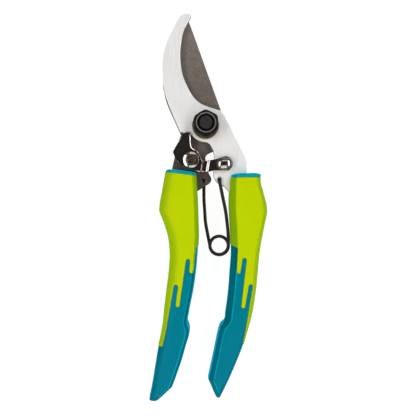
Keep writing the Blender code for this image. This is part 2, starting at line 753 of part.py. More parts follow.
def build():
    """The whole pair of shears."""
    clear_scene()
    parts = make_collection("pruning_shears")
    cutters = make_collection("cutters")
    hook_half = make_axis("hook_half", PIVOT, parts)
    blade_half = make_axis("blade_half", PIVOT, parts)
    latch_axis = make_axis("latch_axis", (PIVOT[0] + RIVET[0], PIVOT[1] + RIVET[1]), parts)

    steel = make_material("hook_steel", (0.72, 0.73, 0.74), 0.3, 1.0)
    coated = make_material("coated_steel", (0.17, 0.15, 0.13), 0.45, 0.8)
    black = make_material("black_oxide", (0.03, 0.03, 0.03), 0.4, 0.8)
    zinc = make_material("yellow_zinc", (0.75, 0.6, 0.3), 0.35, 1.0)
    gunmetal = make_material("gunmetal", (0.2, 0.18, 0.17), 0.12, 1.0)
    spring_steel = make_material("spring_steel", (0.015, 0.015, 0.015), 0.35, 0.6)
    teal = make_material("teal_plastic", (0.0, 0.19, 0.26), 0.4, 0.0)
    lime = make_material("lime_grip", (0.48, 0.64, 0.0), 0.55, 0.0)

    hook_blade(parts, hook_half, steel)
    cutting_blade(parts, cutters, blade_half, coated)
    pivot_bolt(parts, cutters, hook_half, black)
    bolt_washer(parts, hook_half, zinc)
    lock_washer(parts, hook_half, zinc)
    pivot_nut(parts, cutters, hook_half, black)
    latch_lever(parts, cutters, latch_axis, gunmetal)
    latch_washer(parts, latch_axis, zinc)
    latch_rivet(parts, latch_axis, gunmetal)
    spring_coil(parts, hook_half, spring_steel)
    spring_leg(parts, hook_half, spring_steel)
    hook_room = tang_pocket("hook_tang_room", hook_outline(), HOOK_BOTTOM, HOOK_TOP, cutters, hook_half)
    blade_room = tang_pocket("blade_tang_room", blade_outline(), BLADE_BOTTOM, BLADE_TOP, cutters, blade_half)
    finish = (teal, lime)
    left = (LEFT_RIBS, LEFT_INNER_ROUNDING, LEFT_SKIN, blade_room)
    right = (RIGHT_RIBS, RIGHT_INNER_ROUNDING, RIGHT_SKIN, hook_room)
    handle("left", *left, parts, cutters, blade_half, finish)
    handle("right", *right, parts, cutters, hook_half, finish)
    for obj in parts.objects:
        shade(obj)


build()
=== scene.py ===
"""Looks of the bypass pruning shears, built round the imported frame.

Lengths are millimetres until a mesh is made.  Outlines are drawn from the pivot's centre, and heights from
the surface that the shears lie on.  The blades point along +Y, and +Z is the side with the nut and the latch.
"""

import json
import math

import bmesh
import bpy
import numpy as np
from mathutils import Matrix, Vector


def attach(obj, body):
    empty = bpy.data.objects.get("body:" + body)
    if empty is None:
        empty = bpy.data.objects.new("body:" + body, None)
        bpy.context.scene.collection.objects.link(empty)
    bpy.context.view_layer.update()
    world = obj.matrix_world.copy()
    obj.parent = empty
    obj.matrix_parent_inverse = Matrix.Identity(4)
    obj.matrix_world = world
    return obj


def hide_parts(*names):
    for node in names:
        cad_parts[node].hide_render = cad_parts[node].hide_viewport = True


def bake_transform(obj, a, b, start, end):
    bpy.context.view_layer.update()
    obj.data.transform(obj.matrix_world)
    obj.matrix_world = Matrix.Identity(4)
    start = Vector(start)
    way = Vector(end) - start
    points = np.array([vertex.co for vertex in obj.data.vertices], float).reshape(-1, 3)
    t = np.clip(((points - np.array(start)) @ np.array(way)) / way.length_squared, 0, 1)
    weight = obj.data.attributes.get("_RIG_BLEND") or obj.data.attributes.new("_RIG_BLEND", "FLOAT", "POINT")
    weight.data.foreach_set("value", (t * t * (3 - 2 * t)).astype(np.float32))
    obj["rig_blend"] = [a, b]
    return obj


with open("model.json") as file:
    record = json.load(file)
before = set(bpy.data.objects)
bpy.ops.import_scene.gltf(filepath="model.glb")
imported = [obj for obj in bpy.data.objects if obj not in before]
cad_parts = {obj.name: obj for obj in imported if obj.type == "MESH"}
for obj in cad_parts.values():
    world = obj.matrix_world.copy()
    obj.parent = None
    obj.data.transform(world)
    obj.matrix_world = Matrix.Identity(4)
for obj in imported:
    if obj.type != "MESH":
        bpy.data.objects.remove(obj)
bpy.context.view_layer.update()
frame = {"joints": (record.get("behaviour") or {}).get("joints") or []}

MM = 0.001

# The pivot in the row frame, as the frame's own pivot joint has it.
PIVOT_JOINT = next(joint for joint in frame["joints"] if joint["name"] == "blade_pivot")
PIVOT = tuple(round(value / MM, 4) for value in PIVOT_JOINT["pos_m"])

# The faces of the two plates, and the holes in them that other pieces go through.
BLADE_LOW, BLADE_HIGH = 5.8, 8.85
HOOK_LOW, HOOK_HIGH = 9.15, 12.2
PIVOT_HOLE_RADIUS = 4.1
RIVET = (-7.95, -18.7)
RIVET_HOLE_RADIUS = 2.3
HOOK_LUG_HOLE = (7.05, -28.8)
BLADE_LUG_HOLE = (-1.2, -29.5)


# ---- Outlines ----


def smooth(points, steps=8):
    """A Catmull-Rom curve through the points, with steps pieces between each two."""
    line = [2 * Vector(points[0]) - Vector(points[1])] + [Vector(point) for point in points]
    line.append(2 * line[-1] - line[-2])
    curve = []
    for a, b, c, d in zip(line, line[1:], line[2:], line[3:]):
        for step in range(steps):
            t = step / steps
            square = 2 * a - 5 * b + 4 * c - d
            cube = 3 * b - a - 3 * c + d
            curve.append(b + 0.5 * ((c - a) * t + square * t**2 + cube * t**3))
    curve.append(line[-2])
    return curve


def fillet(corners, steps=8):
    """The closed outline through corners (x, y, radius), each turned into an arc of its radius."""
    outline = []
    for index, (x, y, radius) in enumerate(corners):
        corner = Vector((x, y))
        if radius == 0:
            outline.append(corner)
            continue
        back = (Vector(corners[index - 1][:2]) - corner).normalized()
        ahead = (Vector(corners[(index + 1) % len(corners)][:2]) - corner).normalized()
        half = back.angle(ahead) / 2
        centre = corner + (back + ahead).normalized() * (radius / math.sin(half))
        start = corner + back * (radius / math.tan(half)) - centre
        turn = start.angle_signed(corner + ahead * (radius / math.tan(half)) - centre)
        for step in range(steps + 1):
            outline.append(centre + Matrix.Rotation(-turn * step / steps, 2) @ start)
    return outline


def arc(centre, radius, start, end, steps):
    """Points along an arc, its angles in degrees."""
    angles = [math.radians(start + (end - start) * step / steps) for step in range(steps + 1)]
    return [Vector((centre[0] + radius * math.cos(a), centre[1] + radius * math.sin(a))) for a in angles]


def whole_turn(steps):
    """Angles evenly round a circle, in radians."""
    return [2 * math.pi * step / steps for step in range(steps)]


def circle(centre, radius, steps=64):
    """A closed circle."""
    return arc(centre, radius, 0, 360, steps)[:-1]


def flat(points):
    """The points as an array of two columns."""
    return np.array([(point[0], point[1]) for point in points])


def straight(points):
    """The corners of a line of straight stretches."""
    return [Vector(point) for point in points]


def even(points, spacing):
    """The closed outline with long straight stretches divided."""
    made = []
    for a, b in zip(points, points[1:] + points[:1]):
        pieces = max(1, round((b - a).length / spacing))
        made += [a.lerp(b, step / pieces) for step in range(pieces)]
    return made


def boundary_distance(points, loop):
    """How far each point is from a closed line."""
    along = np.roll(loop, -1, 0) - loop
    reach = points[:, None, :] - loop[None]
    share = np.clip((reach * along).sum(-1) / np.maximum((along * along).sum(-1), 1e-12), 0, 1)
    return np.linalg.norm(reach - share[..., None] * along, axis=-1).min(1)


def is_inside(points, loop):
    """Which of the points are inside a closed line."""
    start, end = loop, np.roll(loop, -1, 0)
    above = (start[None, :, 1] > points[:, None, 1]) != (end[None, :, 1] > points[:, None, 1])
    rise = np.where(end[:, 1] == start[:, 1], 1e-12, end[:, 1] - start[:, 1])
    cross = (end[:, 0] - start[:, 0]) * (points[:, None, 1] - start[:, 1]) / rise + start[:, 0]
    return (above & (points[:, None, 0] < cross)).sum(1) % 2 == 1


def depth_inside(points, loop):
    """Distance from the line, positive inside it."""
    return np.where(is_inside(points, loop), 1, -1) * boundary_distance(points, loop)


# ---- Meshes ----


def row(point):
    """A point drawn from the pivot, in the row frame."""
    return Vector((point[0] + PIVOT[0], point[1] + PIVOT[1], point[2])) * MM


def add_object(name, data):
    """A new object in the scene."""
    made = bpy.data.objects.new(name, data)
    bpy.context.scene.collection.objects.link(made)
    return made


def finish_piece(name, work, body, materials, replaced=(), sharp=35.0, ride=True):
    """The mesh in its closed form as a piece of the object, riding on a CAD body."""
    bmesh.ops.recalc_face_normals(work, faces=work.faces)
    mesh = bpy.data.meshes.new(name)
    work.to_mesh(mesh)
    work.free()
    for material in materials:
        mesh.materials.append(material)
    mesh.shade_smooth()
    mesh.set_sharp_from_angle(angle=math.radians(sharp))
    piece = add_object(name, mesh)
    piece.modifiers.new("weighted", "WEIGHTED_NORMAL").keep_sharp = True
    if ride:
        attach(piece, body)
    if replaced:
        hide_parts(*replaced)
    return piece


def outward(loop):
    """The outward direction at each corner of a loop whose solid is on its left."""
    ahead = np.roll(loop, -1, 0) - loop
    ahead /= np.linalg.norm(ahead, axis=1)[:, None]
    side = np.stack([ahead[:, 1], -ahead[:, 0]], 1)
    before = np.roll(side, 1, 0)
    total = side + before
    scale = np.maximum(1 + (side * before).sum(1), 0.25)
    return total / scale[:, None]


def wound(loop, hole):
    """The loop running so that the solid is on its left."""
    x, y = loop[:, 0], loop[:, 1]
    area = (x * np.roll(y, -1) - np.roll(x, -1) * y).sum()
    return loop[::-1] if (area > 0) == hole else loop


def rim_sizes(loop, normals, sizes):
    """The rounding that each corner has room for."""
    found = np.zeros(len(loop))
    for share in (0.08, 0.15, 0.25, 0.4, 0.6, 0.8, 1.0):
        tried = sizes * share
        moved = loop - normals * tried[:, None]
        clear = boundary_distance(moved, loop) > 0.8 * tried
        found = np.where(clear, tried, found)
    return np.maximum(found, 0.02)


def plate(loops, low, high, rims, whole_rim=False, is_dull_and_shaded=None, steps=4):
    """A flat plate with rounded rims: an outline and its holes, each with the size of its rounding.

    The sides take the second material, painted shade over a dull finish, and so does the whole rim, or most
    of it at the points that the given test picks.
    """
    work = bmesh.new()
    low_edges, high_edges = [], []
    for index, (points, size) in enumerate(zip(loops, rims)):
        loop = wound(flat(points), index > 0)
        normals = outward(loop)
        sizes = rim_sizes(loop, normals, size(loop) if callable(size) else np.full(len(loop), size))
        turns = [math.radians(90 * step / steps) for step in range(steps + 1)]
        levels = [(1 - math.sin(turn), 1 - math.cos(turn), False) for turn in turns]
        levels += [(1 - math.sin(turn), 1 - math.cos(turn), True) for turn in reversed(turns)]
        rings = []
        for inset, lift, is_top in levels:
            spots = loop - normals * (sizes * inset)[:, None]
            heights = high - sizes * lift if is_top else low + sizes * lift
            rings.append([work.verts.new(row((x, y, z))) for (x, y), z in zip(spots, heights)])
        for level, (ring, following) in enumerate(zip(rings, rings[1:])):
            for spot, face in zip(loop, bridge(work, ring, following)):
                # Faces that take the darker second material carry painted shade.
                dull = whole_rim or level == steps
                dull = dull or (is_dull_and_shaded is not None and level < 2 * steps and is_dull_and_shaded(*spot))
                face.material_index = 1 if dull else 0
        low_edges += ring_edges(work, rings[0])
        high_edges += ring_edges(work, rings[-1])
    for edges in (low_edges, high_edges):
        bmesh.ops.triangle_fill(work, use_beauty=True, edges=edges)
    return work


def bridge(work, ring, following):
    """A band of faces between two rings."""
    faces = []
    for index in range(len(ring)):
        after = (index + 1) % len(ring)
        faces.append(work.faces.new((ring[index], ring[after], following[after], following[index])))
    return faces


def ring_edges(work, ring):
    """The edges along a ring."""
    return [work.edges.get(pair) for pair in zip(ring, ring[1:] + ring[:1])]


def loft(rings, closed=False):
    """A solid through rings of points (x, y, height), capped unless its last ring joins its first."""
    work = bmesh.new()
    made = [[work.verts.new(row(spot)) for spot in ring] for ring in rings]
    for ring, following in zip(made, made[1:] + (made[:1] if closed else [])):
        bridge(work, ring, following)
    if not closed:
        work.faces.new(made[0])
        work.faces.new(made[-1])
    return work


def lathed(centre, profile, steps=72, closed=False):
    """A turned solid from (radius, height) pairs, each a number or a function of the angle."""
    rings = []
    for reach, lift in profile:
        ring = []
        for angle in whole_turn(steps):
            radius = reach(angle) if callable(reach) else reach
            height = lift(angle) if callable(lift) else lift
            ring.append((centre[0] + radius * math.cos(angle), centre[1] + radius * math.sin(angle), height))
        rings.append(ring)
    return loft(rings, closed)


def hexagon(across, turn=0.0):
    """The radius of a hexagon as a function of the angle, with a corner at turn degrees."""

    def radius(angle):
        off = (angle - math.radians(turn)) % (math.pi / 3) - math.pi / 6
        return across / 2 / math.cos(off)

    return radius


def rounded_profile(corners, steps=4):
    """The profile through (radius, height, rounding), each inner corner turned into an arc."""
    line = [corners[0][:2]]
    for before, here, after in zip(corners, corners[1:], corners[2:]):
        turned = fillet([(*before[:2], 0), here, (*after[:2], 0)], steps)[1:-1]
        line += [tuple(point) for point in turned]
    return line + [corners[-1][:2]]


def cut(work, layer, levels, snap):
    """Divide the faces where the layer's value crosses each level."""
    for level in levels:
        level = float(np.float32(level))
        bmesh.ops.triangulate(work, faces=[face for face in work.faces if len(face.verts) > 3])
        for vert in work.verts:
            if abs(vert[layer] - level) < snap:
                vert[layer] = level
        crossed = []
        for edge in work.edges:
            a, b = edge.verts
            if (a[layer] - level) * (b[layer] - level) < 0:
                crossed.append((edge, a, (level - a[layer]) / (b[layer] - a[layer])))
        for edge, start, share in crossed:
            vert = bmesh.utils.edge_split(edge, start, share)[1]
            vert[layer] = level
        on_level = [vert for vert in work.verts if vert[layer] == level]
        for face in {face for vert in on_level for face in vert.link_faces}:
            marked = [vert for vert in face.verts if vert[layer] == level]
            if len(marked) == 2 and not work.edges.get(marked):
                bmesh.utils.face_split(face, *marked)


def remove_faces(work, faces=()):
    """Remove the faces, and every vertex that no face holds."""
    bmesh.ops.delete(work, geom=list(faces), context="FACES")
    bmesh.ops.delete(work, geom=[vert for vert in work.verts if not vert.link_faces], context="VERTS")


def thicken(work, over, under, rim_material=0):
    """Close an open sheet into a solid: over and under say where each vertex and its copy go."""
    rim = [edge for edge in work.edges if len(edge.link_faces) == 1]
    faces = list(work.faces)
    copies = {vert: work.verts.new(under[vert]) for vert in list(work.verts)}
    for face in faces:
        work.faces.new([copies[vert] for vert in reversed(face.verts)])
    for edge in rim:
        a, b = edge.verts
        work.faces.new((a, b, copies[b], copies[a])).material_index = rim_material
    for vert in copies:
        vert.co = over[vert]


def paint(work, centre, rule):
    """Give each face the material that the rule finds from its distance from a centre and its height."""
    for face in work.faces:
        x, y, height = face.calc_center_median() / MM
        face.material_index = rule(math.hypot(x - PIVOT[0] - centre[0], y - PIVOT[1] - centre[1]), height)


def clamped(t):
    """A share held between 0 and 1."""
    return min(1.0, max(0.0, t))


def ease(t):
    """A smooth step from 0 to 1."""
    t = clamped(t)
    return t * t * (3 - 2 * t)


def float_layers(work, *names):
    """New layers of numbers on the vertices, fetched once all of them are there."""
    for name in names:
        work.verts.layers.float.new(name)
    return [work.verts.layers.float[name] for name in names]


# ---- Materials ----


def add_node(tree, kind, sources=None, **settings):
    """A node with its settings, its sockets given a value or a link."""
    node = tree.nodes.new(kind)
    for key, value in settings.items():
        setattr(node, key, value)
    for name, value in (sources or {}).items():
        socket = node.inputs[name]
        if isinstance(value, bpy.types.NodeSocket):
            tree.links.new(value, socket)
        else:
            socket.default_value = value
    return node


def coordinate(tree, kind, axis=None):
    """Where the surface is, or which way it faces: all three numbers or the one along an axis."""
    whole = add_node(tree, "ShaderNodeTexCoord").outputs[kind]
    return add_node(tree, "ShaderNodeSeparateXYZ", {"Vector": whole}).outputs[axis] if axis else whole


def noise(tree, scales, detail=3.0, turn=0.0, roughness=0.55):
    """Noise in the piece's own place, with scales features to the metre: one number or three."""
    scales = scales if isinstance(scales, tuple) else (scales,) * 3
    turns = {"Vector": coordinate(tree, "Object"), "Rotation": (0.0, 0.0, math.radians(turn))}
    turned = add_node(tree, "ShaderNodeMapping", turns).outputs[0]
    scaled = add_node(tree, "ShaderNodeMapping", {"Vector": turned, "Scale": scales}).outputs[0]
    values = {"Vector": scaled, "Scale": 1.0, "Detail": detail, "Roughness": roughness}
    return add_node(tree, "ShaderNodeTexNoise", values).outputs["Fac"]


def ramp(tree, source, stops):
    """Colours along a value."""
    node = add_node(tree, "ShaderNodeValToRGB", {"Fac": source})
    elements = node.color_ramp.elements
    while len(elements) < len(stops):
        elements.new(1.0)
    for element, (position, colour) in zip(elements, stops):
        element.position = position
        element.color = (*colour, 1.0)
    return node.outputs["Color"]


def span(tree, source, low, high, start=0.0, end=1.0):
    """A value brought from start and end to low and high."""
    values = {"Value": source, "From Min": start, "From Max": end, "To Min": low, "To Max": high}
    return add_node(tree, "ShaderNodeMapRange", values).outputs["Result"]


def mixed(tree, factor, first, second, blend="MIX"):
    """Two colours mixed."""
    node = add_node(tree, "ShaderNodeMix", data_type="RGBA", blend_type=blend)
    for index, value in ((0, factor), (6, first), (7, second)):
        if isinstance(value, bpy.types.NodeSocket):
            tree.links.new(value, node.inputs[index])
        elif index:
            node.inputs[index].default_value = (*value, 1.0)
        else:
            node.inputs[index].default_value = value
    return node.outputs[2]


def multiplied(tree, colour, *others):
    """A colour times others."""
    for other in others:
        colour = mixed(tree, 1.0, colour, other, "MULTIPLY")
    return colour


def connect(tree, shader, colour, roughness, bumps):
    """Give a shader a colour, a roughness (value, low, high) and bumps (height, distance in mm, strength)."""
    tree.links.new(colour, shader.inputs["Base Color"])
    tree.links.new(span(tree, *roughness), shader.inputs["Roughness"])
    normal = None
    for height, distance, strength in bumps:
        values = {"Height": height, "Distance": distance * MM, "Strength": strength}
        if normal:
            values["Normal"] = normal
        normal = add_node(tree, "ShaderNodeBump", values).outputs["Normal"]
    tree.links.new(normal, shader.inputs["Normal"])


def new_material(name, metallic, specular=0.5, **fixed):
    """A Principled material: (material, tree, shader)."""
    material = bpy.data.materials.new(name)
    material.use_nodes = True
    tree = material.node_tree
    shader = tree.nodes["Principled BSDF"]
    for key, value in {"Metallic": metallic, "Specular_IOR_Level": specular, **fixed}.items():
        shader.inputs[key.replace("_", " ")].default_value = value
    return material, tree, shader


def two_tone(low, high):
    """The stops of a ramp over noise."""
    return [(0.3, low), (0.7, high)]


def shades(colour, low, high):
    """A darker and a lighter shade of a colour, as the stops of a ramp over noise."""
    return two_tone(tuple(low * c for c in colour), tuple(high * c for c in colour))


def levelness(tree):
    """How level the surface is: 1 on top and 0 on a wall."""
    up = coordinate(tree, "Normal", "Z")
    return add_node(tree, "ShaderNodeMath", {0: up}, operation="ABSOLUTE").outputs[0]


def along_tool(tree, start, end):
    """How far along the tool the surface is: 0 at the start and 1 at the end, both in metres."""
    return span(tree, coordinate(tree, "Object", "Y"), 0.0, 1.0, start, end)


def grey(value):
    """A grey as a colour."""
    return (value, value, value)


def satin_steel():
    """Ground steel, its fine lines along the blades, with a slight cloudiness."""
    material, tree, shader = new_material("satin_steel", 0.8)
    lines = noise(tree, (2600, 120, 2600), 3.0, turn=4.0)
    base = ramp(tree, noise(tree, (90, 60, 90), 4.0), shades((0.90, 0.905, 0.905), 0.965, 1.03))
    grain = ramp(tree, lines, [(0.25, grey(0.93)), (0.75, grey(1.05))])
    connect(tree, shader, multiplied(tree, base, grain), (lines, 0.52, 0.66), [(lines, 0.008, 0.4)])
    return material


def low_friction_coating():
    """A thin brown-grey baked coating over ground steel, with painted shade that leaves it lightest at the
    tip and darker towards the tang.
    """
    material, tree, shader = new_material("low_friction_coating", 0.65, 0.4)
    lines = noise(tree, (3400, 260, 3400), 4.0, turn=-32.0)
    specks = noise(tree, 1500)
    # Painted shade: the coating's colour darkens from the tip down towards the tang.
    stops = [(0.0, (0.110, 0.089, 0.068)), (0.18, (0.150, 0.127, 0.109)), (0.42, (0.192, 0.161, 0.140))]
    stops += [(0.75, (0.215, 0.182, 0.160)), (1.0, (0.265, 0.230, 0.205))]
    base = ramp(tree, along_tool(tree, 0.014, 0.100), stops)
    tone = ramp(tree, noise(tree, (60, 42, 60)), two_tone((0.92, 0.91, 0.90), (1.08, 1.08, 1.08)))
    grain = ramp(tree, lines, [(0.25, (0.70, 0.69, 0.68)), (0.75, (1.28, 1.29, 1.3))])
    speckle = ramp(tree, specks, [(0.3, grey(0.74)), (0.75, grey(1.2))])
    colour = multiplied(tree, base, tone, grain, speckle)
    connect(tree, shader, colour, (lines, 0.46, 0.60), [(specks, 0.008, 0.4), (lines, 0.006, 0.4)])
    return material


def teal_plastic():
    """Moulded hard plastic: the collar at the top a brighter blue than the ends below, with painted light and
    shade by slope: lighter on steep sides, a little darker on middling slopes.
    """
    material, tree, shader = new_material("moulded_teal", 0.0, 0.0, Coat_Weight=0.05, Coat_Roughness=0.3)
    stops = [(0.0, (0.0, 0.182, 0.266)), (0.35, (0.0, 0.190, 0.268)), (0.62, (0.0, 0.198, 0.268))]
    stops += [(0.72, (0.0, 0.205, 0.275)), (0.9, (0.0, 0.320, 0.400))]
    base = ramp(tree, along_tool(tree, -0.103, 0.022), stops)
    cloud = noise(tree, (110, 60, 110))
    tone = ramp(tree, cloud, two_tone((0.96, 0.96, 0.97), (1.04, 1.04, 1.03)))
    grain = noise(tree, 3200, 2.0)
    # Painted light and shade: a ramp over levelness, times 2.9, lightens steep sides and darkens middling
    # slopes.
    stops = [(0.0, 0.60), (0.08, 0.85), (0.25, 0.75), (0.45, 0.40), (0.55, 0.29), (0.93, 0.325)]
    stops += [(0.975, 0.36), (0.99, 0.375), (1.0, 0.34)]
    slope = ramp(tree, levelness(tree), [(position, grey(value)) for position, value in stops])
    colour = multiplied(tree, multiplied(tree, base, tone), multiplied(tree, slope, grey(2.9)))
    connect(tree, shader, colour, (grain, 0.34, 0.48), [(grain, 0.012, 0.3), (cloud, 0.05, 0.15)])
    return material


def lime_grip():
    """Soft-touch rubber: matt, with a fine pebbled grain, and painted shade that darkens it where it slopes
    away.
    """
    material, tree, shader = new_material("soft_lime_grip", 0.0, 0.0, Coat_Weight=0.05, Coat_Roughness=0.45)
    pebbles = noise(tree, 2300, roughness=0.6)
    base = ramp(tree, noise(tree, (55, 40, 55)), two_tone((0.452, 0.602, 0.0), (0.478, 0.628, 0.001)))
    tone = ramp(tree, pebbles, two_tone((0.965, 0.965, 0.9), (1.03, 1.03, 1.0)))
    # Painted shade: darker greens mixed in as the surface slopes away from level.
    rounded = span(tree, levelness(tree), 0.0, 1.0, 0.996, 0.92)
    sloped_painted_shade = span(tree, levelness(tree), 0.0, 1.0, 0.9, 0.65)
    colour = mixed(tree, rounded, multiplied(tree, base, tone), (0.355, 0.500, 0.001))
    colour = mixed(tree, sloped_painted_shade, colour, (0.285, 0.505, 0.003))
    connect(tree, shader, colour, (pebbles, 0.52, 0.7), [(pebbles, 0.03, 0.35)])
    return material


def simple_material(name, metallic, specular, fields, stops, roughness, bumps, **coat):
    """A material coloured by its first field of noise, its roughness by its last.

    A bump is (which field, distance in mm, strength).
    """
    material, tree, shader = new_material(name, metallic, specular, **coat)
    fields = [noise(tree, *field) for field in fields]
    bumps = [(fields[index], distance, strength) for index, distance, strength in bumps]
    connect(tree, shader, ramp(tree, fields[0], stops), (fields[-1], *roughness), bumps)
    return material


def dull_oxide_and_shade(name, shade):
    """Blackened steel left dry and rough, without sheen: painted shade on the nut's chamfer and sides and in
    the washer's notches.
    """
    stops = shades(grey(shade), 0.4, 1.7)
    return simple_material(name, 0.0, 0.05, [((1300, 1300, 500),)], stops, (0.4, 0.6), [(0, 0.02, 0.4)])


def sheared_edge_and_shade():
    """The dull sheared side of a steel plate, made darker as painted shade on the hook blade's sides and lug
    rim.
    """
    stops = shades(grey(0.20), 0.7, 1.3)
    fields = [((2600, 2600, 300),)]
    return simple_material("sheared_edge_and_shade", 0.8, 0.5, fields, stops, (0.4, 0.6), [(0, 0.02, 0.5)])


def blade_rim_painted_shade():
    """Painted shade on the coated blade's rim: a darker brown over its sides and rounded edges."""
    stops = shades((0.055, 0.048, 0.042), 0.6, 1.4)
    return simple_material("blade_rim_painted_shade", 0.5, 0.4, [(1500,)], stops, (0.4, 0.6), [(0, 0.02, 0.4)])


def black_oxide():
    """Blackened steel with a little oil on it."""
    stops = shades((0.017, 0.017, 0.018), 0.6, 1.4)
    fields = [(260, 2.0), (1800,)]
    return simple_material("black_oxide_steel", 0.35, 0.7, fields, stops, (0.18, 0.30), [(1, 0.012, 0.35)])


def ring_painted_highlight():
    """Painted highlight: a lighter blackened steel for the nut's raised ring round the thread."""
    stops = shades((0.27, 0.265, 0.26), 0.5, 1.5)
    return simple_material("ring_painted_highlight", 0.6, 0.6, [(1500,)], stops, (0.3, 0.5), [(0, 0.012, 0.35)])


def yellow_zinc():
    """Yellow-passivated zinc, with the faint changes of hue of its film."""
    stops = [(0.3, (0.66, 0.42, 0.17)), (0.5, (0.82, 0.58, 0.30)), (0.72, (0.68, 0.57, 0.31))]
    fields = [(420, 2.0), (2400, 2.0)]
    return simple_material("yellow_zinc_plate", 1.0, 0.5, fields, stops, (0.22, 0.38), [(1, 0.008, 0.3)])


def polished_gunmetal():
    """Dark plated steel, polished."""
    stops = two_tone((0.30, 0.27, 0.25), (0.38, 0.345, 0.32))
    fields = [(150,), ((900, 2400, 2400), 3.0, 25.0)]
    bumps = [(0, 0.04, 0.22), (1, 0.001, 0.2)]
    return simple_material("polished_gunmetal", 1.0, 0.5, fields, stops, (0.09, 0.2), bumps)


def turned_rivet():
    """Plated steel as it comes off the lathe, a little warmer than the latch."""
    stops = two_tone((0.33, 0.285, 0.25), (0.43, 0.375, 0.33))
    return simple_material("turned_rivet", 1.0, 0.5, [(500, 2.0)], stops, (0.1, 0.18), [(0, 0.01, 0.2)])


def rivet_middle_painted_shade():
    """Painted shade in the rivet's dished middle: a dull dark brown."""
    stops = two_tone((0.11, 0.088, 0.076), (0.18, 0.148, 0.13))
    return simple_material("rivet_middle_painted_shade", 1.0, 0.5, [(900, 2.0)], stops, (0.2, 0.32), [(0, 0.01, 0.2)])


def black_wire():
    """Blackened spring wire, drawn lengthways."""
    stops = shades(grey(0.012), 0.7, 1.4)
    fields = [((2200, 700, 2200),)]
    return simple_material("black_spring_wire", 0.1, 0.2, fields, stops, (0.28, 0.42), [(0, 0.01, 0.35)])


TEAL_GRAIN = [((1300, 600, 1300), 2.0)]


def teal_edge_painted_highlight():
    """Painted highlight along the teal core's inner edges: a lighter teal."""
    stops = shades((0.0, 0.34, 0.45), 0.93, 1.07)
    bumps = [(0, 0.012, 0.3)]
    coat = {"Coat_Weight": 0.08, "Coat_Roughness": 0.3}
    return simple_material("teal_edge_painted_highlight", 0.0, 0.0, TEAL_GRAIN, stops, (0.4, 0.55), bumps, **coat)


def teal_recess_painted_shade():
    """Painted shade for the teal core's finger recess: a darker teal."""
    stops = shades((0.0, 0.165, 0.222), 0.93, 1.07)
    return simple_material("teal_recess_painted_shade", 0.0, 0.0, TEAL_GRAIN, stops, (0.45, 0.6), [(0, 0.012, 0.3)])


def lime_edge():
    """The skin's edge, where the two mouldings meet."""
    stops = shades((0.115, 0.235, 0.03), 0.8, 1.2)
    return simple_material("lime_edge", 0.0, 0.0, [(1500,)], stops, (0.6, 0.8), [(0, 0.03, 0.3)])


# ---- Plates ----

# The cutting edge is an arc, with its bevel ground down to a thin land.
EDGE_CENTRE = (33.5, 17.3)
EDGE_RADIUS = 57.0
EDGE_HEEL = (-23.1, 24.0)
EDGE_TIP = (-10.1, 54.0)
BEVEL_WIDTH = 6.0
EDGE_LAND = 0.25
OUTLINE_SPACING = 1.2
HOOK_RIM, LUG_RIM, MOUTH_RIM = 0.24, 0.42, 0.5


def edge_angle(x, y):
    """The angle of a point about the cutting edge's centre, in degrees."""
    return math.degrees(math.atan2(y - EDGE_CENTRE[1], x - EDGE_CENTRE[0]))


def hook_outline():
    """The hook blade: hook, pivot boss, spring lug and tang."""
    low_back = [(-13.6, -3.9), (-19.9, 10.9), (-22.5, 20.5), (-22.9, 33.4)]
    back = smooth(low_back + [(-21.0, 42.6), (-15.3, 54.6), (-12.6, 58.0)])
    tip = straight([(-11.4, 58.5), (-10.0, 58.6), (-8.9, 58.3), (-7.9, 57.8)])
    mouth = [(-9.2, 55.0), (-12.0, 49.0), (-13.45, 40.9), (-13.6, 35.0), (-12.7, 27.6), (-10.5, 21.5)]
    mouth = smooth(mouth + [(-7.5, 15.8), (-5.3, 13.2), (-3.1, 11.4), (-0.9, 10.3), (2.05, 9.1)])
    shoulder = [(7.6, 7.4), (9.4, 5.2), (12.4, -0.8), (15.6, -7.1)]
    shoulder = smooth(shoulder + [(18.8, -13.4), (20.8, -17.7), (21.5, -21.0)])
    tang = [(21.5, -34.0, 0), (21.0, -60.0, 0), (20.0, -74.0, 1.6), (16.6, -74.0, 1.6), (15.7, -58.0, 0)]
    lug = straight([(13.8, -37.5)]) + smooth([(9.9, -33.1), (5.7, -30.5), (3.9, -27.4), (3.8, -24.7)])
    relief = smooth([(4.1, -16.0), (3.4, -13.0), (2.0, -10.4)])
    hub = arc((0, 0), 9.25, 272, 216, 18)
    return even(back + tip + mouth + shoulder + fillet(tang) + lug + relief + hub, OUTLINE_SPACING)


def blade_outline():
    """The cutting blade: edge, straight back, pivot boss, spring lug and tang."""
    tip = straight([(-10.1, 54.9), (-9.3, 55.8)])
    shoulder = straight([(8.0, 7.7)]) + smooth([(10.0, 1.5), (9.6, -4.0), (6.7, -10.9), (3.6, -13.8)])
    neck = smooth([(0.6, -15.2), (-0.4, -17.0), (0.2, -20.5)])
    lug = smooth([(1.4, -25.5), (2.8, -28.4), (1.9, -30.7), (-1.0, -32.6), (-5.6, -35.6)])
    tang = [(-8.2, -46.0, 0), (-9.4, -60.0, 0), (-10.8, -72.0, 1.6), (-14.2, -72.0, 1.6), (-18.2, -36.0, 0)]
    side = [(-18.4, -24.0), (-17.5, -19.8), (-14.3, -6.9), (-13.9, -4.2)]
    side = smooth(side + [(-20.6, 10.9), (-22.9, 20.0)])
    edge = arc(EDGE_CENTRE, EDGE_RADIUS, edge_angle(*EDGE_HEEL), edge_angle(*EDGE_TIP), 48)
    return even(tip + shoulder + neck + lug + fillet(tang) + side + edge, OUTLINE_SPACING)


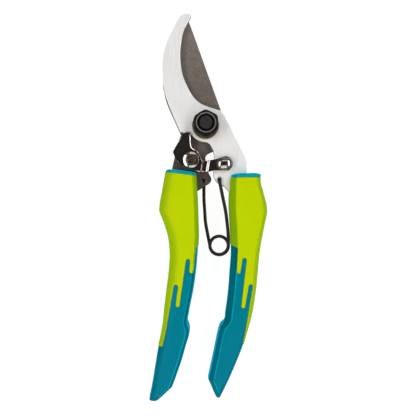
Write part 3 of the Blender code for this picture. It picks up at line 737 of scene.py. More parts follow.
def hook_rim(loop):
    """Rounding of the hook blade's rim: larger round the lug, and along the mouth, where it is ground."""
    to_mouth = np.hypot(loop[:, 0] - EDGE_CENTRE[0], loop[:, 1] - EDGE_CENTRE[1])
    in_mouth = (to_mouth < EDGE_RADIUS - 2.5) & (loop[:, 1] > 8.5) & (loop[:, 0] < 3.0)
    return np.where(in_mouth, MOUTH_RIM, np.where([on_lug(*spot) for spot in loop], LUG_RIM, HOOK_RIM))


def on_lug(x, y):
    """Whether a point of the hook blade's rim is round its spring lug."""
    return 3.0 < x < 13.9 and -38.0 < y < -13.0


def hook_plate(materials):
    """The hook blade's plate."""
    loops = [hook_outline(), circle((0, 0), PIVOT_HOLE_RADIUS), circle(HOOK_LUG_HOLE, 1.25, 32)]
    # Most of the rim round the lug takes the darker sheared material, as painted shade.
    work = plate(loops, HOOK_LOW, HOOK_HIGH, [hook_rim, 0.2, 0.25], is_dull_and_shaded=on_lug)
    return finish_piece("hook_plate", work, "hook_half", materials, ["hook_blade"])


def bevel_cutter():
    """The wedge that grinds the bevel behind the cutting edge, swept along its arc and past both ends."""
    rise = (BLADE_HIGH - BLADE_LOW - EDGE_LAND) / BEVEL_WIDTH
    below, beyond = 1.0, 1.5
    inner = EDGE_RADIUS - BEVEL_WIDTH
    outer = EDGE_RADIUS + beyond
    low = BLADE_LOW - below
    profile = [(outer, BLADE_LOW + (outer - inner) * rise), (outer, low), (inner - below / rise, low)]
    work = bmesh.new()
    work.faces.new([work.verts.new((radius * MM, 0.0, height * MM)) for radius, height in profile])
    start = edge_angle(*EDGE_TIP) - 3.0
    turn = edge_angle(*EDGE_HEEL) + 4.0 - start
    bmesh.ops.rotate(work, verts=work.verts, matrix=Matrix.Rotation(math.radians(start), 3, "Z"))
    whole = work.verts[:] + work.edges[:] + work.faces[:]
    bmesh.ops.spin(work, geom=whole, axis=(0.0, 0.0, 1.0), angle=math.radians(turn), steps=64)
    bmesh.ops.translate(work, verts=work.verts, vec=row((*EDGE_CENTRE, 0.0)))
    bmesh.ops.recalc_face_normals(work, faces=work.faces)
    mesh = bpy.data.meshes.new("bevel_cutter")
    work.to_mesh(mesh)
    work.free()
    return add_object("bevel_cutter", mesh)


def blade_plate(materials):
    """The cutting blade's plate, with its bevel ground into the back."""
    loops = [blade_outline(), circle((0, 0), PIVOT_HOLE_RADIUS)]
    loops += [circle(RIVET, RIVET_HOLE_RADIUS, 40), circle(BLADE_LUG_HOLE, 1.2, 40)]
    # The whole rim takes the darker second material, painted shade.
    work = plate(loops, BLADE_LOW, BLADE_HIGH, [0.3, 0.2, 0.15, 0.12], whole_rim=True)
    piece = finish_piece("blade_plate", work, "blade_half", materials, ["cutting_blade"])
    cutter = bevel_cutter()
    carve = piece.modifiers.new("carve", "BOOLEAN")
    carve.operation = "DIFFERENCE"
    carve.object = cutter
    carve.solver = "EXACT"
    piece.modifiers.move(1, 0)
    graph = bpy.context.evaluated_depsgraph_get()
    carved = bpy.data.meshes.new_from_object(piece.evaluated_get(graph))
    piece.modifiers.remove(carve)
    piece.data = carved
    bpy.data.objects.remove(cutter, do_unlink=True)
    return piece


# ---- Pivot ----

NUT_LOW, NUT_HIGH = 13.6, 20.1
NUT_FACE = 19.75
NUT_ACROSS = 12.6
NUT_TURN = 33.0
NUT_BORE = 3.85
THREAD_RING = 5.2
TEETH = 54
TOOTH_HEIGHT, NOTCH_DEPTH = 0.35, 0.5
WASHER_CENTRE = (-0.3, -0.55)
WASHER_HOLE_RADIUS = 4.45
BOLT_END = 20.6
SOCKET_ACROSS = 5.0


def pivot_nut(materials):
    """The hexagon nut, its corners turned down, with a raised ring round the thread."""
    flats = hexagon(NUT_ACROSS, NUT_TURN)

    def body(limit):
        return lambda angle: min(flats(angle), limit)

    # Painted highlight on the raised ring round the thread, painted shade on the chamfer and sides.
    def look(reach, height):
        if height > 19.72 and 4.58 < reach < THREAD_RING - 0.01:
            return 1
        return 2 if reach > THREAD_RING else 0

    profile = [(NUT_BORE, 18.8), (4.2, 19.1), (4.6, NUT_FACE), (4.65, 19.95), (4.8, NUT_HIGH)]
    profile += [(5.0, NUT_HIGH), (5.15, 19.95), (THREAD_RING, NUT_FACE)]
    for step in range(1, 7):
        t = step / 6
        profile.append((body(THREAD_RING + 1.65 * t), NUT_FACE - 1.6 * t**1.3))
    profile += [(body(6.85), 14.1), (body(6.4), 13.75), (body(6.1), NUT_LOW), (NUT_BORE, NUT_LOW)]
    work = lathed((0, 0), profile, 144, closed=True)
    paint(work, (0, 0), look)
    return finish_piece("nut", work, "hook_half", materials, ["pivot_nut"], sharp=30)


def out_of_notch(angle):
    """How far a direction is out of the notch between two teeth: 0 in the notch and 1 on a tooth."""
    share = (angle * TEETH / (2 * math.pi)) % 1.0
    return ease(4 * min(share, 1 - share) - 0.4)


def toothed_washer(materials):
    """The toothed washer under the nut, a little off the bolt's middle."""

    def rim(radius):
        return lambda angle: radius + TOOTH_HEIGHT * out_of_notch(angle)

    def crown(height):
        return lambda angle: height - NOTCH_DEPTH * (1 - out_of_notch(angle))

    profile = [(WASHER_HOLE_RADIUS, 12.5), (rim(6.75), 12.5), (rim(6.85), 12.62), (rim(6.85), crown(13.15))]
    profile += [(rim(6.7), crown(13.3)), (5.9, 13.3), (WASHER_HOLE_RADIUS, 13.3)]
    work = lathed(WASHER_CENTRE, profile, 8 * TEETH, closed=True)
    # Painted shade in the notches between the teeth and under the rim.
    paint(work, WASHER_CENTRE, lambda r, z: int(r > 5.95 and (z < 13.08 or r < 6.95 and z < 13.2)))
    nodes = ["lock_washer"]
    return finish_piece("toothed_washer", work, "hook_half", materials, nodes, sharp=30)


def plain_washer(name, centre, inner, outer, low, high, body, materials, node):
    """A flat washer with slightly rounded edges."""
    corners = [(inner, low, 0), (outer, low, 0.12), (outer, high, 0.12), (inner, high, 0)]
    work = lathed(centre, rounded_profile(corners), 96, closed=True)
    return finish_piece(name, work, body, materials, [node])


def bolt(materials):
    """The pivot bolt: its end shows in the nut, its head with a hexagon socket is behind."""
    socket = hexagon(SOCKET_ACROSS)
    profile = [(0.4, BOLT_END), (3.15, BOLT_END), (3.25, 20.5), (3.6, 19.6), (3.7, 19.3)]
    profile += [(3.7, 12.0), (3.95, 11.9), (4.0, 4.4)]
    head = [(6.45, 4.4, 0), (6.6, 4.3, 0), (6.6, 2.6, 0.5), (5.6, 1.3, 0.5), (3.4, 1.3, 0)]
    profile += rounded_profile(head, 5)
    profile += [(lambda angle: socket(angle) + 0.25, 1.3), (socket, 1.5), (socket, 3.3)]
    work = lathed((0, 0), profile, 96)
    paint(work, (0, 0), lambda reach, height: int(height > BOLT_END - 0.15))
    return finish_piece("bolt", work, "hook_half", materials, ["pivot_bolt"])


# ---- Latch ----

LATCH_LOW, LATCH_HIGH = 9.85, 12.9
LATCH_LIFT = 2.7
LATCH_GRID = 0.32
# How far in the sheet's rim is cut, and how far out along the arm the folds are.
LATCH_RIMS = (0.0, 0.05, 0.13, 0.5)
LATCH_FOLDS = (5.85, 6.03, 6.22, 6.41, 6.6, 8.6, 8.85, 9.05, 9.8, 10.05, 10.35)
RIM_ROUNDING = 0.22
NUB_SIZE = (4.2, 3.25)
NUB_FOOT, NUB_SHOULDER, NUB_DOME = 13.9, 15.15, 1.5
NUB_START = math.radians(25)
RIVET_TILT = 0.085


def latch_outline():
    """The whole latch: nose, round the rivet, and arm to the thumb pad, drawn from the rivet."""
    nose = smooth([(-10.1, 4.1), (-9.35, 5.8), (-7.3, 9.3), (-4.8, 12.9)], 6)
    peak = smooth([(-3.2, 14.2), (-1.6, 14.9), (-0.4, 14.3), (-0.2, 12.8)], 4)
    inner = smooth([(-0.1, 9.0), (0.4, 6.7), (1.9, 5.5), (3.6, 4.4), (4.7, 2.5), (5.4, 0.8), (6.5, -0.8)], 5)
    upper = smooth([(8.2, -0.55), (9.9, -0.2), (13.2, 0.3), (15.4, 1.15)], 6)
    pad = arc((18.2, -2.0), 3.8, 112, -84, 22)
    under = smooth([(15.4, -5.75), (12.0, -5.75), (10.2, -6.2), (5.2, -6.4), (2.6, -5.9), (-0.8, -5.2)], 6)
    heel = smooth([(-4.5, -3.4), (-6.9, -0.8), (-9.3, 2.0)], 6)
    return nose + peak + inner + upper + pad + under + heel


def ramped(t):
    """A straight rise from 0 to 1 with rounded ends."""
    t = clamped(t)
    if t < 0.25:
        return t * t / 0.375
    return 1 - (1 - t) ** 2 / 0.375 if t > 0.75 else (t - 0.125) / 0.75


def along_arm(x, y):
    """How far out along the arm a point is, square to its folds."""
    return x - 0.17 * y


def latch_heights(x, y):
    """Underside and top of the latch at a point: low round the rivet, high at the nose and along the arm."""
    past = along_arm(x, y)
    arm = ramped((past - 6.1) / 3.6)
    rise = 1.25 * ramped((past - 5.85) / 0.75) + 0.62 * ramped((past - 8.6) / 1.75)
    away = math.hypot(x, y) if y > 0.4 * x else 0.0
    under = max(arm, ease((away - 6.9) / 1.6))
    nose = 0.9 * ramped((0.98 * y - 0.19 * x - 3.0) / 9.0)
    return LATCH_LOW + LATCH_LIFT * under, LATCH_HIGH + max(rise, nose)


def coining(x, y):
    """How steeply the latch's rim is pressed down: most beside the rivet, least at peak, heel and arm."""
    beside = ease((x - 0.2) / 0.8) * ease((7.2 - y) / 0.8) * ease((y + 1.5) / 1.0)
    peak = ease((y - 10.9) / 1.2) * ease((-1.3 - x) / 1.0)
    heel = ease((1.9 - y) / 1.0) * ease((-3.9 - x) / 0.8)
    return (0.39 + 0.12 * beside) * (1 - 0.85 * max(peak, heel, ease((x - 6.0) / 1.5)))


def flat_latch():
    """The latch before it is bent: a grid that holds each vertex's depth inside and place along the arm."""
    outline = flat(latch_outline())
    low, high = outline.min(0) - 1.0, outline.max(0) + 1.0
    columns, lines = [int(value) + 1 for value in np.ceil((high - low) / LATCH_GRID)]
    grid = np.array([low + LATCH_GRID * np.array((i, j)) for j in range(lines) for i in range(columns)])
    depth = np.minimum(depth_inside(grid, outline), np.hypot(grid[:, 0], grid[:, 1]) - RIVET_HOLE_RADIUS)
    work = bmesh.new()
    layer, past = float_layers(work, "depth", "past")
    verts = []
    for (x, y), value in zip(grid, depth):
        vert = work.verts.new((x, y, 0.0))
        vert[layer] = value
        vert[past] = along_arm(x, y)
        verts.append(vert)
    for line in range(lines - 1):
        for first in range(line * columns, (line + 1) * columns - 1):
            quad = (first, first + 1, first + columns + 1, first + columns)
            if max(depth[index] for index in quad) > 0:
                work.faces.new([verts[index] for index in quad])
    remove_faces(work)
    return work, layer, past


def latch_sheet(materials):
    """The latch's bent sheet, rounded along its rim, with the rivet's hole."""
    work, layer, past = flat_latch()
    cut(work, layer, LATCH_RIMS, snap=0.012)
    cut(work, past, LATCH_FOLDS, snap=0.0)
    outside = [face for face in work.faces if min(vert[layer] for vert in face.verts) < -1e-4]
    remove_faces(work, outside)
    rounded, coined = LATCH_RIMS[2:]
    over, under = {}, {}
    for vert in work.verts:
        x, y, _ = vert.co
        pressed = coining(x, y) * max(0.0, coined - max(rounded, vert[layer]))
        pressed += RIM_ROUNDING * (1 - math.sqrt(1 - max(0.0, 1 - vert[layer] / rounded) ** 2))
        bottom, top = latch_heights(x, y)
        over[vert] = row((x + RIVET[0], y + RIVET[1], top - pressed))
        under[vert] = row((x + RIVET[0], y + RIVET[1], bottom + pressed))
    thicken(work, over, under)
    return finish_piece("latch_sheet", work, "latch", materials, ["latch_lever"], sharp=17)


def thumb_nub(materials):
    """The domed thumb nub on the latch's pad, a rounded oblong."""
    centre = (RIVET[0] + 17.5, RIVET[1] - 2.1)
    profile = rounded_profile([(1.0, NUB_FOOT, 0), (1.0, 14.95, 0.08), (0.97, NUB_SHOULDER, 0)], 3)
    for degrees in range(30, 95, 5):
        angle = math.radians(degrees)
        share = (math.sin(angle) - math.sin(NUB_START)) / (1 - math.sin(NUB_START))
        across = 0.97 * math.cos(angle) / math.cos(NUB_START) + 0.004
        profile.append((across, NUB_SHOULDER + NUB_DOME * share))
    rings = []
    for share, height in profile:
        ring = []
        for angle in whole_turn(72):
            x, y = [
                size * share * math.copysign(abs(part) ** 0.88, part)
                for size, part in zip(NUB_SIZE, (math.cos(angle), math.sin(angle)))
            ]
            ring.append((centre[0] + x, centre[1] + y + 0.06 * x, height))
        rings.append(ring)
    return finish_piece("thumb_nub", loft(rings), "latch", materials)


def rivet(materials):
    """The latch's rivet: flange, stepped head with a dished middle, and its tail behind."""
    corners = [(0.3, 14.3, 0), (0.8, 14.3, 0.1), (1.0, 14.7, 0.1), (1.35, 14.75, 0.1), (1.5, 14.45, 0.1)]
    corners += [(1.75, 14.45, 0.1), (2.05, 14.9, 0.15), (2.4, 14.85, 0.15), (2.55, 14.3, 0.15)]
    corners += [(3.0, 14.25, 0.2), (4.2, 13.9, 0.1), (4.3, 13.4, 0.1), (4.3, 13.2, 0), (2.2, 13.2, 0)]
    corners += [(2.2, 5.5, 0), (3.6, 5.5, 0), (3.6, 5.0, 0.3), (2.6, 4.4, 0.4), (0.3, 4.3, 0)]
    work = lathed(RIVET, rounded_profile(corners))
    for vert in work.verts:
        if vert.co.z > 13.5 * MM:
            vert.co.z += RIVET_TILT * (vert.co.x - (PIVOT[0] + RIVET[0]) * MM)
    # Painted shade on the head's dished middle.
    paint(work, RIVET, lambda reach, height: int(reach < 2.8 and height > 13.0))
    return finish_piece("rivet", work, "blade_half", materials, ["latch_rivet"])


# ---- Spring ----

WIRE_RADIUS = 0.9
COIL_CENTRE = (6.9, -63.95)
COIL_RADIUS = 4.9
COIL_PITCH = 1.75
COIL_MIDDLE = 9.0
COIL_TURN = 540
HOOK_LEG_HEIGHT = 13.3
BLADE_LEG_HEIGHT = 4.7
END_BEND = 1.2
END_UPSET = 1.28


def leg(route, lug_height, coil_height, flat_share):
    """A leg from its lug down to the coil: level at first, then easing over to the coil's height."""
    line = smooth(route)
    points = []
    for index, (x, y) in enumerate(line):
        t = (index / (len(line) - 1) - flat_share) / (1 - flat_share)
        points.append((x, y, lug_height + (coil_height - lug_height) * ease(t)))
    return points


def hooked_end(hole, end_height, leg_height):
    """The end of a leg, which dips into its lug's hole and turns down the leg."""
    side = math.copysign(END_BEND, leg_height - end_height)
    points = [(hole[0], hole[1], end_height)]
    for step in range(8):
        angle = math.radians(90 / 7 * step)
        y = hole[1] - END_BEND * (1 - math.cos(angle))
        points.append((hole[0], y, leg_height - side * (1 - math.sin(angle))))
    return points


def tube(points, radius, steps):
    """A round wire along the points, its ends upset and rounded over."""
    line = straight(points)
    kept = line[:1]
    for point in line[1:]:
        if (point - kept[-1]).length > 0.25:
            kept.append(point)
    side = Vector((1, 0, 0))
    rings = []
    last = len(kept) - 1
    for index, point in enumerate(kept):
        ahead = (kept[min(index + 1, last)] - kept[max(index - 1, 0)]).normalized()
        side = (side - ahead * side.dot(ahead)).normalized()
        up = ahead.cross(side)
        from_end = min((point - kept[0]).length, (point - kept[last]).length)
        full = 1.0 + (END_UPSET - 1.0) * (1 - ease(from_end / 0.9))
        stations = [(0.0, full)]
        if index in (0, last):
            outwards = -1 if index == 0 else 1
            bends = [math.radians(angle) for angle in (80, 45)]
            cap = [(outwards * 0.3 * math.sin(bend), full * (0.65 + 0.35 * math.cos(bend))) for bend in bends]
            stations = cap + stations if index == 0 else stations + cap[::-1]
        for shift, share in stations:
            ring = []
            for angle in whole_turn(steps):
                out = side * math.cos(angle) + up * math.sin(angle)
                ring.append(tuple(point + ahead * shift + out * radius * share))
            rings.append(ring)
    return loft(rings)


def spring(materials):
    """The torsion spring in one wire: a leg hooked into each lug and a coil between them."""
    half = COIL_PITCH * COIL_TURN / 360 / 2
    top, low = COIL_MIDDLE + half, COIL_MIDDLE - half
    right_route = [(7.3, -31.2), (8.9, -39.0), (10.2, -45.4), (11.1, -52.0), (11.7, -58.5), (11.8, -63.95)]
    left_route = [(-1.2, -32.0), (-1.2, -39.0), (-0.8, -45.4), (-0.3, -52.0), (0.9, -58.5), (2.0, -63.95)]
    points = hooked_end(HOOK_LUG_HOLE, HOOK_LOW + 0.6, HOOK_LEG_HEIGHT)
    points += leg(right_route, HOOK_LEG_HEIGHT, top, 0.25)
    for degrees in range(6, COIL_TURN, 6):
        angle = math.radians(-degrees)
        x = COIL_CENTRE[0] + COIL_RADIUS * math.cos(angle)
        y = COIL_CENTRE[1] + COIL_RADIUS * math.sin(angle)
        points.append((x, y, top - COIL_PITCH * degrees / 360))
    left = hooked_end(BLADE_LUG_HOLE, BLADE_HIGH - 0.2, BLADE_LEG_HEIGHT)
    left += leg(left_route, BLADE_LEG_HEIGHT, low, 0.35)
    points += left[::-1]
    work = tube(points, WIRE_RADIUS, 20)
    nodes = ["spring_coil", "spring_leg"]
    piece = finish_piece("spring_wire", work, None, materials, nodes, ride=False)
    coil = row((*COIL_CENTRE, COIL_MIDDLE))
    across = Vector((0.994, 0.11, 0.0)) * 2.8 * MM
    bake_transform(piece, "spring_right", "spring_left", start=coil + across, end=coil - across)
    return piece


# ---- Handles ----

# Each rib of a handle: its outer end (x, y), its inner end (x, y) and its thickness.
LEFT_RIBS = (
    (-20.4, -23.5, -5.8, -25.3, 17.0), (-21.2, -24.2, -5.2, -26.0, 18.0),
    (-21.5, -25.9, -5.2, -27.6, 18.0), (-22.9, -34.0, -4.8, -35.0, 18.0),
    (-24.4, -42.4, -4.4, -43.0, 18.0), (-24.6, -45.2, -4.3, -46.0, 18.0),
    (-23.0, -49.6, -4.2, -50.5, 18.0), (-20.2, -58.1, -4.0, -58.6, 18.0),
    (-19.1, -67.6, -4.4, -67.6, 18.0), (-19.6, -77.2, -5.2, -77.2, 18.0),
    (-20.8, -86.7, -6.5, -86.7, 17.8), (-22.3, -99.4, -8.9, -99.0, 17.5),
    (-22.8, -104.4, -9.6, -104.2, 17.3), (-23.3, -107.4, -8.6, -107.4, 17.2),
    (-23.7, -109.6, -8.6, -109.4, 17.1), (-25.2, -116.5, -10.4, -116.2, 16.8),
    (-26.9, -126.0, -13.1, -125.6, 16.4), (-28.3, -134.4, -16.1, -134.2, 16.0),
    (-29.0, -138.4, -17.6, -138.2, 15.8), (-29.9, -142.8, -22.2, -142.6, 15.4),
    (-30.2, -145.2, -25.2, -145.6, 13.8), (-29.4, -146.7, -26.6, -146.9, 10.0),
)
RIGHT_RIBS = (
    (26.9, -25.6, 14.3, -25.9, 17.0), (28.7, -26.2, 12.9, -26.5, 18.0),
    (28.9, -26.9, 12.7, -27.3, 18.0), (28.6, -28.2, 12.5, -28.4, 18.0),
    (30.0, -36.0, 12.2, -36.0, 18.0), (31.7, -43.0, 12.1, -43.0, 18.0),
    (31.9, -45.6, 12.2, -45.6, 18.0), (31.1, -50.5, 12.5, -50.5, 18.0),
    (29.5, -58.1, 12.9, -58.1, 18.0), (27.9, -67.6, 13.0, -67.6, 18.0),
    (27.0, -77.2, 12.3, -77.2, 18.0), (26.1, -86.7, 11.6, -86.7, 17.8),
    (24.1, -99.4, 10.0, -99.4, 17.5), (23.2, -103.4, 9.4, -103.4, 17.3),
    (22.3, -106.4, 7.2, -106.2, 17.2), (21.6, -109.0, 6.3, -109.0, 17.1),
    (19.4, -116.4, 4.7, -116.4, 16.8), (15.7, -126.0, 2.7, -126.0, 16.4),
    (12.3, -134.0, 0.9, -134.3, 16.0), (11.1, -136.6, 1.7, -136.0, 15.8),
    (9.2, -140.6, 3.4, -140.2, 15.4), (7.7, -143.7, 4.9, -143.6, 13.8),
    (7.0, -145.0, 5.9, -145.0, 10.0),
)

# The soft skin's edge: inner side first, round two fingers, and out past the strip along the outer side.
LEFT_SKIN = (
    (4.9, -28.3, 0), (4.9, -64.2, 0), (-5.0, -64.2, 0.6), (-6.4, -77.9, 1.1),
    (-9.0, -77.9, 1.1), (-8.4, -70.6, 0.8), (-10.1, -70.6, 0.8), (-13.7, -95.5, 1.05),
    (-16.1, -95.5, 1.05), (-14.6, -83.9, 0.8), (-16.5, -83.9, 0.8), (-20.4, -106.2, 0),
    (-22.7, -116.5, 0.8), (-38.9, -116.5, 0), (-38.9, -22.9, 0),
)
RIGHT_SKIN = (
    (3.9, -28.0, 0), (3.9, -63.6, 0), (12.9, -63.6, 0), (16.2, -64.8, 0.5),
    (15.6, -78.1, 1), (17.9, -78.1, 1), (19.1, -70.1, 0.8), (20.9, -70.1, 0.8),
    (17.9, -96.0, 1.05), (20.3, -96.0, 1.05), (22.4, -83.7, 0.8), (24.2, -83.7, 0.8),
    (20.7, -105.2, 0), (18.9, -115.3, 0.6), (43.8, -115.3, 0), (43.8, -27.8, 0),
)

# Corner at the inner side, from the front face to the middle: (distance from the side, drop from the front).
ROUND_CORNER = (
    (2.3, 0.0), (2.05, 0.05), (1.8, 0.2), (1.5, 0.5), (1.15, 0.9), (0.8, 1.35),
    (0.5, 1.9), (0.28, 2.8), (0.12, 4.2), (0.0, 6.4), (0.0, 7.6), (0.0, 9.0),
)
EASED_CORNER = (
    (2.7, 0.0), (2.3, 0.06), (1.9, 0.22), (1.5, 0.5), (1.1, 0.95), (0.8, 1.4),
    (0.5, 1.95), (0.28, 2.8), (0.12, 4.2), (0.0, 6.4), (0.0, 7.6), (0.0, 9.0),
)
SLOPED_CORNER = (
    (3.9, 0.0), (3.5, 0.06), (3.15, 0.3), (2.8, 0.8), (2.3, 1.7), (1.7, 2.8),
    (1.1, 4.0), (0.6, 5.1), (0.25, 6.1), (0.06, 7.0), (0.0, 7.9), (0.0, 9.0),
)
LEDGED_CORNER = (
    (3.9, 0.0), (3.5, 0.06), (3.15, 0.15), (2.95, 0.35), (2.8, 0.8), (2.5, 2.3),
    (2.1, 3.9), (1.6, 5.1), (1.0, 5.8), (0.5, 6.2), (0.15, 7.2), (0.0, 9.0),
)
FACETED_CORNER = (
    (3.4, 0.0), (3.05, 0.06), (2.75, 0.18), (2.5, 0.4), (2.0, 0.9), (1.5, 1.4),
    (1.0, 1.9), (0.6, 2.4), (0.3, 3.2), (0.12, 4.4), (0.0, 6.4), (0.0, 9.0),
)

# Which corner each handle has at places down the tool, blended between them.
LEFT_CORNERS = ((-24.0, ROUND_CORNER), (-103.5, ROUND_CORNER), (-107.5, EASED_CORNER), (-150.0, EASED_CORNER))
RIGHT_CORNERS = (
    (-24.0, SLOPED_CORNER), (-63.5, SLOPED_CORNER), (-65.5, LEDGED_CORNER),
    (-101.5, LEDGED_CORNER), (-106.5, FACETED_CORNER), (-150.0, FACETED_CORNER),
)
# The rounding of the outer side: how far in it reaches and how far it falls.
LEFT_OUTER = (7.2, 5.4)
RIGHT_OUTER = (3.2, 4.6)

RIB_SPACING = 0.7
STRAIGHT_BELOW = -131.0
FACE_PIECES = 15
SKIN_GAP = 0.06
SKIN_ROUNDING = 0.5
SKIN_RAISE = 0.14
SKIN_THICKNESS = 1.15
SKIN_EDGE_FALL = 0.4
CORE_SINK = 0.12
CORE_RECESS = 0.9
CORE_STEP = 0.3


def fine_ribs(ribs):
    """The ribs at even spacing, on a smooth curve through the given ones."""
    table = np.array(ribs)
    middle = (table[:, 0:2] + table[:, 2:4]) / 2
    at = np.concatenate([[0.0], np.cumsum(np.linalg.norm(np.diff(middle, axis=0), axis=1))])
    slope = np.gradient(table, at, axis=0)
    places = np.linspace(0.0, at[-1], round(at[-1] / RIB_SPACING) + 1)
    places = np.unique(np.concatenate([places, at[middle[:, 1] < STRAIGHT_BELOW]]))
    index = np.clip(np.searchsorted(at, places, "right") - 1, 0, len(at) - 2)
    width = (at[index + 1] - at[index])[:, None]
    t = ((places - at[index]) / (at[index + 1] - at[index]))[:, None]
    fine = (
        (2 * t**3 - 3 * t**2 + 1) * table[index]
        + (t**3 - 2 * t**2 + t) * width * slope[index]
        + (3 * t**2 - 2 * t**3) * table[index + 1]
        + (t**3 - t**2) * width * slope[index + 1]
    )
    straight = (1 - t) * table[index] + t * table[index + 1]
    fine = np.where(middle[index + 1, 1:2] < STRAIGHT_BELOW, straight, fine)
    fine[:, 4] = np.minimum(fine[:, 4], table[:, 4].max())
    return fine


def corner_at(corners, y):
    """The inner corner's profile at a distance down the tool."""
    for (start, first), (end, second) in zip(corners, corners[1:]):
        if y >= end:
            t = ease((start - y) / (start - end))
            return (1 - t) * np.array(first) + t * np.array(second)
    return np.array(corners[-1][1])


def section(width, thickness, outer, corner):
    """The closed section of a rib as (distance from its outer end, height)."""
    share = min(1.0, 0.5 * width / outer[0])
    reach, fall = outer[0] * share, min(outer[1], thickness / 2 - 0.5) * min(1.0, share + 0.2)
    corner = flat(smooth(corner, 2)) * (min(1.0, 0.5 * width / corner[0][0]), thickness / 18.0)
    middle = thickness / 2
    wall = [(0.0, middle + (middle - fall) * step / 3) for step in range(3)]
    turns = [math.radians(90 * step / 10) for step in range(10)]
    curve = [(reach * (1 - math.cos(a) ** 0.9), thickness - fall * (1 - math.sin(a) ** 0.9)) for a in turns]
    face_end = width - corner[0][0]
    face = [(reach + (face_end - reach) * step / FACE_PIECES, thickness) for step in range(FACE_PIECES)]
    inner = [(width - distance, thickness - drop) for distance, drop in corner]
    upper = wall + curve + face + inner
    lower = [(across, thickness - height) for across, height in upper[-2:0:-1]]
    return upper + lower


def handle_mesh(ribs, outer, corners, skin):
    """A handle as one closed mesh: (mesh, depth inside the skin's outline, whether round the inner side)."""
    work = bmesh.new()
    layer, inner = float_layers(work, "depth", "inner")
    outline = flat(fillet(skin))
    rings = []
    for x0, y0, x1, y1, thickness in fine_ribs(ribs):
        start = Vector((x0, y0))
        along = Vector((x1, y1)) - start
        width = along.length
        along.normalize()
        corner = corner_at(corners, (y0 + y1) / 2)
        profile = section(width, thickness, outer, corner)
        spots = [(*(start + along * across), height) for across, height in profile]
        ring = []
        for spot, depth, (across, _) in zip(spots, depth_inside(flat(spots), outline), profile):
            vert = work.verts.new(row(spot))
            vert[layer] = depth
            vert[inner] = float(across > width - corner[0][0] - 0.05)
            ring.append(vert)
        rings.append(ring)
    for ring, following in zip(rings, rings[1:]):
        bridge(work, ring, following)
    for ring in (rings[0], rings[-1]):
        work.faces.new(ring)
    bmesh.ops.recalc_face_normals(work, faces=work.faces)
    return work, layer, inner


def shifted(work, layer, shift):
    """Where each vertex goes when it moves along its normal by a function of its depth, in mm."""
    work.normal_update()
    return {vert: vert.co + vert.normal * shift(vert[layer]) * MM for vert in work.verts}


def grip_piece(name, shape, body, materials, node):
    """The soft skin: the handle's surface inside the skin's outline, rounded over along its edge."""
    work, layer, _ = handle_mesh(*shape)
    levels = [SKIN_GAP + SKIN_ROUNDING * share for share in (0.0, 0.12, 0.4, 1.0)]
    cut(work, layer, levels, snap=0.03)
    outside = [face for face in work.faces if min(vert[layer] for vert in face.verts) < levels[0] - 1e-4]

    def rise(depth):
        share = clamped((depth - SKIN_GAP) / SKIN_ROUNDING)
        return SKIN_RAISE - SKIN_EDGE_FALL * (1 - math.sqrt(1 - (1 - share) ** 2))

    over = shifted(work, layer, rise)
    under = shifted(work, layer, lambda depth: SKIN_RAISE - SKIN_THICKNESS)
    remove_faces(work, outside)
    for face in work.faces:
        face.material_index = int(max(vert[layer] for vert in face.verts) < levels[2] + 1e-4)
    thicken(work, over, under, rim_material=1)
    return finish_piece(name, work, body, materials, [node], sharp=50)


def takes_painted_shade(normal, x, y):
    """Whether a face slopes towards -X in the stretch of the finger recess, where the core takes painted
    shade.
    """
    return normal.x < -0.2 and 0.14 < abs(normal.z) < 0.9 and -104.3 - 0.5 * (12.4 - x) < y < -63.0


def core_piece(name, shape, body, materials, node):
    """The hard core: the whole handle, sunk where the skin lies over it."""
    work, layer, inner = handle_mesh(*shape)
    cut(work, layer, (0.0, CORE_STEP), snap=0.03)

    def sink(depth):
        return -CORE_SINK - (CORE_RECESS - CORE_SINK) * clamped(depth / CORE_STEP)

    for vert, place in shifted(work, layer, sink).items():
        vert.co = place
    work.normal_update()
    for face in work.faces:
        place = face.calc_center_median() / MM
        x, y = place.x - PIVOT[0], place.y - PIVOT[1]
        # Painted highlight on the rounding of the inner edge beside the front and back faces.
        if y < -28.5 and 0.9 < abs(face.normal.z) < 0.99 and min(vert[inner] for vert in face.verts) > 0.5:
            face.material_index = 2
        # Painted shade: a darker teal on faces sloping towards -X along the finger recess.
        elif takes_painted_shade(face.normal, x, y):
            face.material_index = 1
    return finish_piece(name, work, body, materials, [node], sharp=50)


# ---- Studio ----

# Metres, but for the lens.
FLOOR_REACH = 3.0
FLOOR_HEIGHT = -0.00016
LIGHT_AIM = Vector((0.0, 0.0, 0.01))
CAMERA_LENS = 45.9
CAMERA_PLACE = (0.00015, 0.00015, 0.292)


def soft_light(name, place, size, power, colour=(1.0, 1.0, 1.0)):
    """A rectangular soft light that points at the object."""
    data = bpy.data.lights.new(name, "AREA")
    data.shape = "RECTANGLE"
    data.size, data.size_y = size
    data.energy = power
    data.color = colour
    light = add_object(name, data)
    light.location = place
    light.rotation_euler = (LIGHT_AIM - Vector(place)).to_track_quat("-Z", "Y").to_euler()


def floor_sheet():
    """The pale floor, bright enough by itself to lie almost without shadows."""
    mesh = bpy.data.meshes.new("floor")
    corners = [(x * FLOOR_REACH, y * FLOOR_REACH, 0.0) for x, y in ((-1, -1), (1, -1), (1, 1), (-1, 1))]
    mesh.from_pydata(corners, [], [(0, 1, 2, 3)])
    material, tree, shader = new_material("floor_paper", 0.0, 0.0, Roughness=0.9)
    paper = ramp(tree, noise(tree, 6, 2.0), two_tone(grey(0.145), grey(0.155)))
    tree.links.new(paper, shader.inputs["Base Color"])
    shader.inputs["Emission Color"].default_value = (1.0, 1.0, 1.0, 1.0)
    shader.inputs["Emission Strength"].default_value = 0.93
    mesh.materials.append(material)
    floor = add_object("floor", mesh)
    floor.location.z = FLOOR_HEIGHT


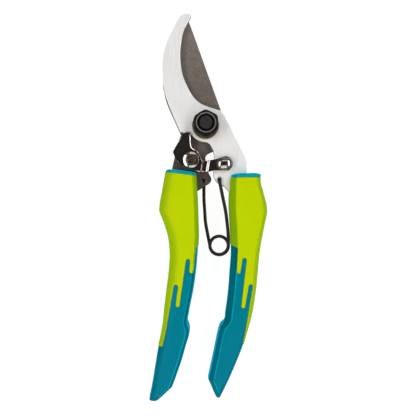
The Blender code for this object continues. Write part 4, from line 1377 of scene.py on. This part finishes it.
def room():
    """The surroundings: grey walls, warm on the near side, that look pale behind the object."""
    world = bpy.data.worlds.new("studio")
    world.use_nodes = True
    tree = world.node_tree
    stops = [(0.0, grey(0.3)), (0.3, grey(0.5)), (0.8, (0.55, 0.55, 0.56)), (0.95, (0.12, 0.12, 0.13))]
    near = span(tree, coordinate(tree, "Generated", "Y"), 0.0, 1.0, -0.2, -0.5)
    walls = mixed(tree, near, ramp(tree, coordinate(tree, "Generated", "Z"), stops), (0.78, 0.58, 0.45))
    seen = add_node(tree, "ShaderNodeLightPath").outputs["Is Camera Ray"]
    background = tree.nodes["Background"]
    tree.links.new(mixed(tree, seen, walls, grey(2.75)), background.inputs["Color"])
    background.inputs["Strength"].default_value = 0.35
    bpy.context.scene.world = world


def studio():
    """The floor, the room, soft lights on all sides of the camera, and the camera straight above."""
    scene = bpy.context.scene
    scene.view_settings.view_transform = "Standard"
    floor_sheet()
    room()
    soft_light("left_box", (-0.60, 0.02, 0.68), (0.90, 0.26), 3.9)
    soft_light("right_box", (0.60, 0.12, 0.68), (1.25, 0.26), 4.9)
    soft_light("far_box", (0.0, 0.64, 0.66), (0.50, 0.24), 0.5)
    soft_light("near_box", (0.0, -0.64, 0.62), (0.70, 0.75), 2.9, (1.0, 0.93, 0.86))
    data = bpy.data.cameras.new("camera")
    data.sensor_width = 36.0
    data.lens = CAMERA_LENS
    data.clip_start, data.clip_end = 0.01, 10.0
    scene.camera = add_object("camera", data)
    scene.camera.location = CAMERA_PLACE


# ---- Assembly ----

black = black_oxide()
zinc = yellow_zinc()
gunmetal = polished_gunmetal()
hook_plate([satin_steel(), sheared_edge_and_shade()])
blade_plate([low_friction_coating(), blade_rim_painted_shade()])
# The nut's chamfer and sides and the washer's notches take the dull oxide as painted shade.
pivot_nut([black, ring_painted_highlight(), dull_oxide_and_shade("dull_oxide_and_shade", 0.009)])
bolt([black, dull_oxide_and_shade("bolt_end", 0.027)])
toothed_washer([zinc, dull_oxide_and_shade("washer_notch_shade", 0.03)])
plain_washer("head_washer", (0, 0), 4.3, 7.3, 4.7, 5.5, "hook_half", [zinc], "bolt_washer")
plain_washer("latch_spacer", RIVET, 2.5, 4.2, 9.15, 9.55, "blade_half", [zinc], "latch_washer")
latch_sheet([gunmetal])
thumb_nub([gunmetal])
rivet([turned_rivet(), rivet_middle_painted_shade()])
spring([black_wire()])

teal = [teal_plastic(), teal_recess_painted_shade(), teal_edge_painted_highlight()]
lime = [lime_grip(), lime_edge()]
LEFT_SHAPE = (LEFT_RIBS, LEFT_OUTER, LEFT_CORNERS, LEFT_SKIN)
RIGHT_SHAPE = (RIGHT_RIBS, RIGHT_OUTER, RIGHT_CORNERS, RIGHT_SKIN)
core_piece("left_core", LEFT_SHAPE, "blade_half", teal, "left_handle_core")
grip_piece("left_grip", LEFT_SHAPE, "blade_half", lime, "left_handle_grip")
core_piece("right_core", RIGHT_SHAPE, "hook_half", teal, "right_handle_core")
grip_piece("right_grip", RIGHT_SHAPE, "hook_half", lime, "right_handle_grip")
studio()
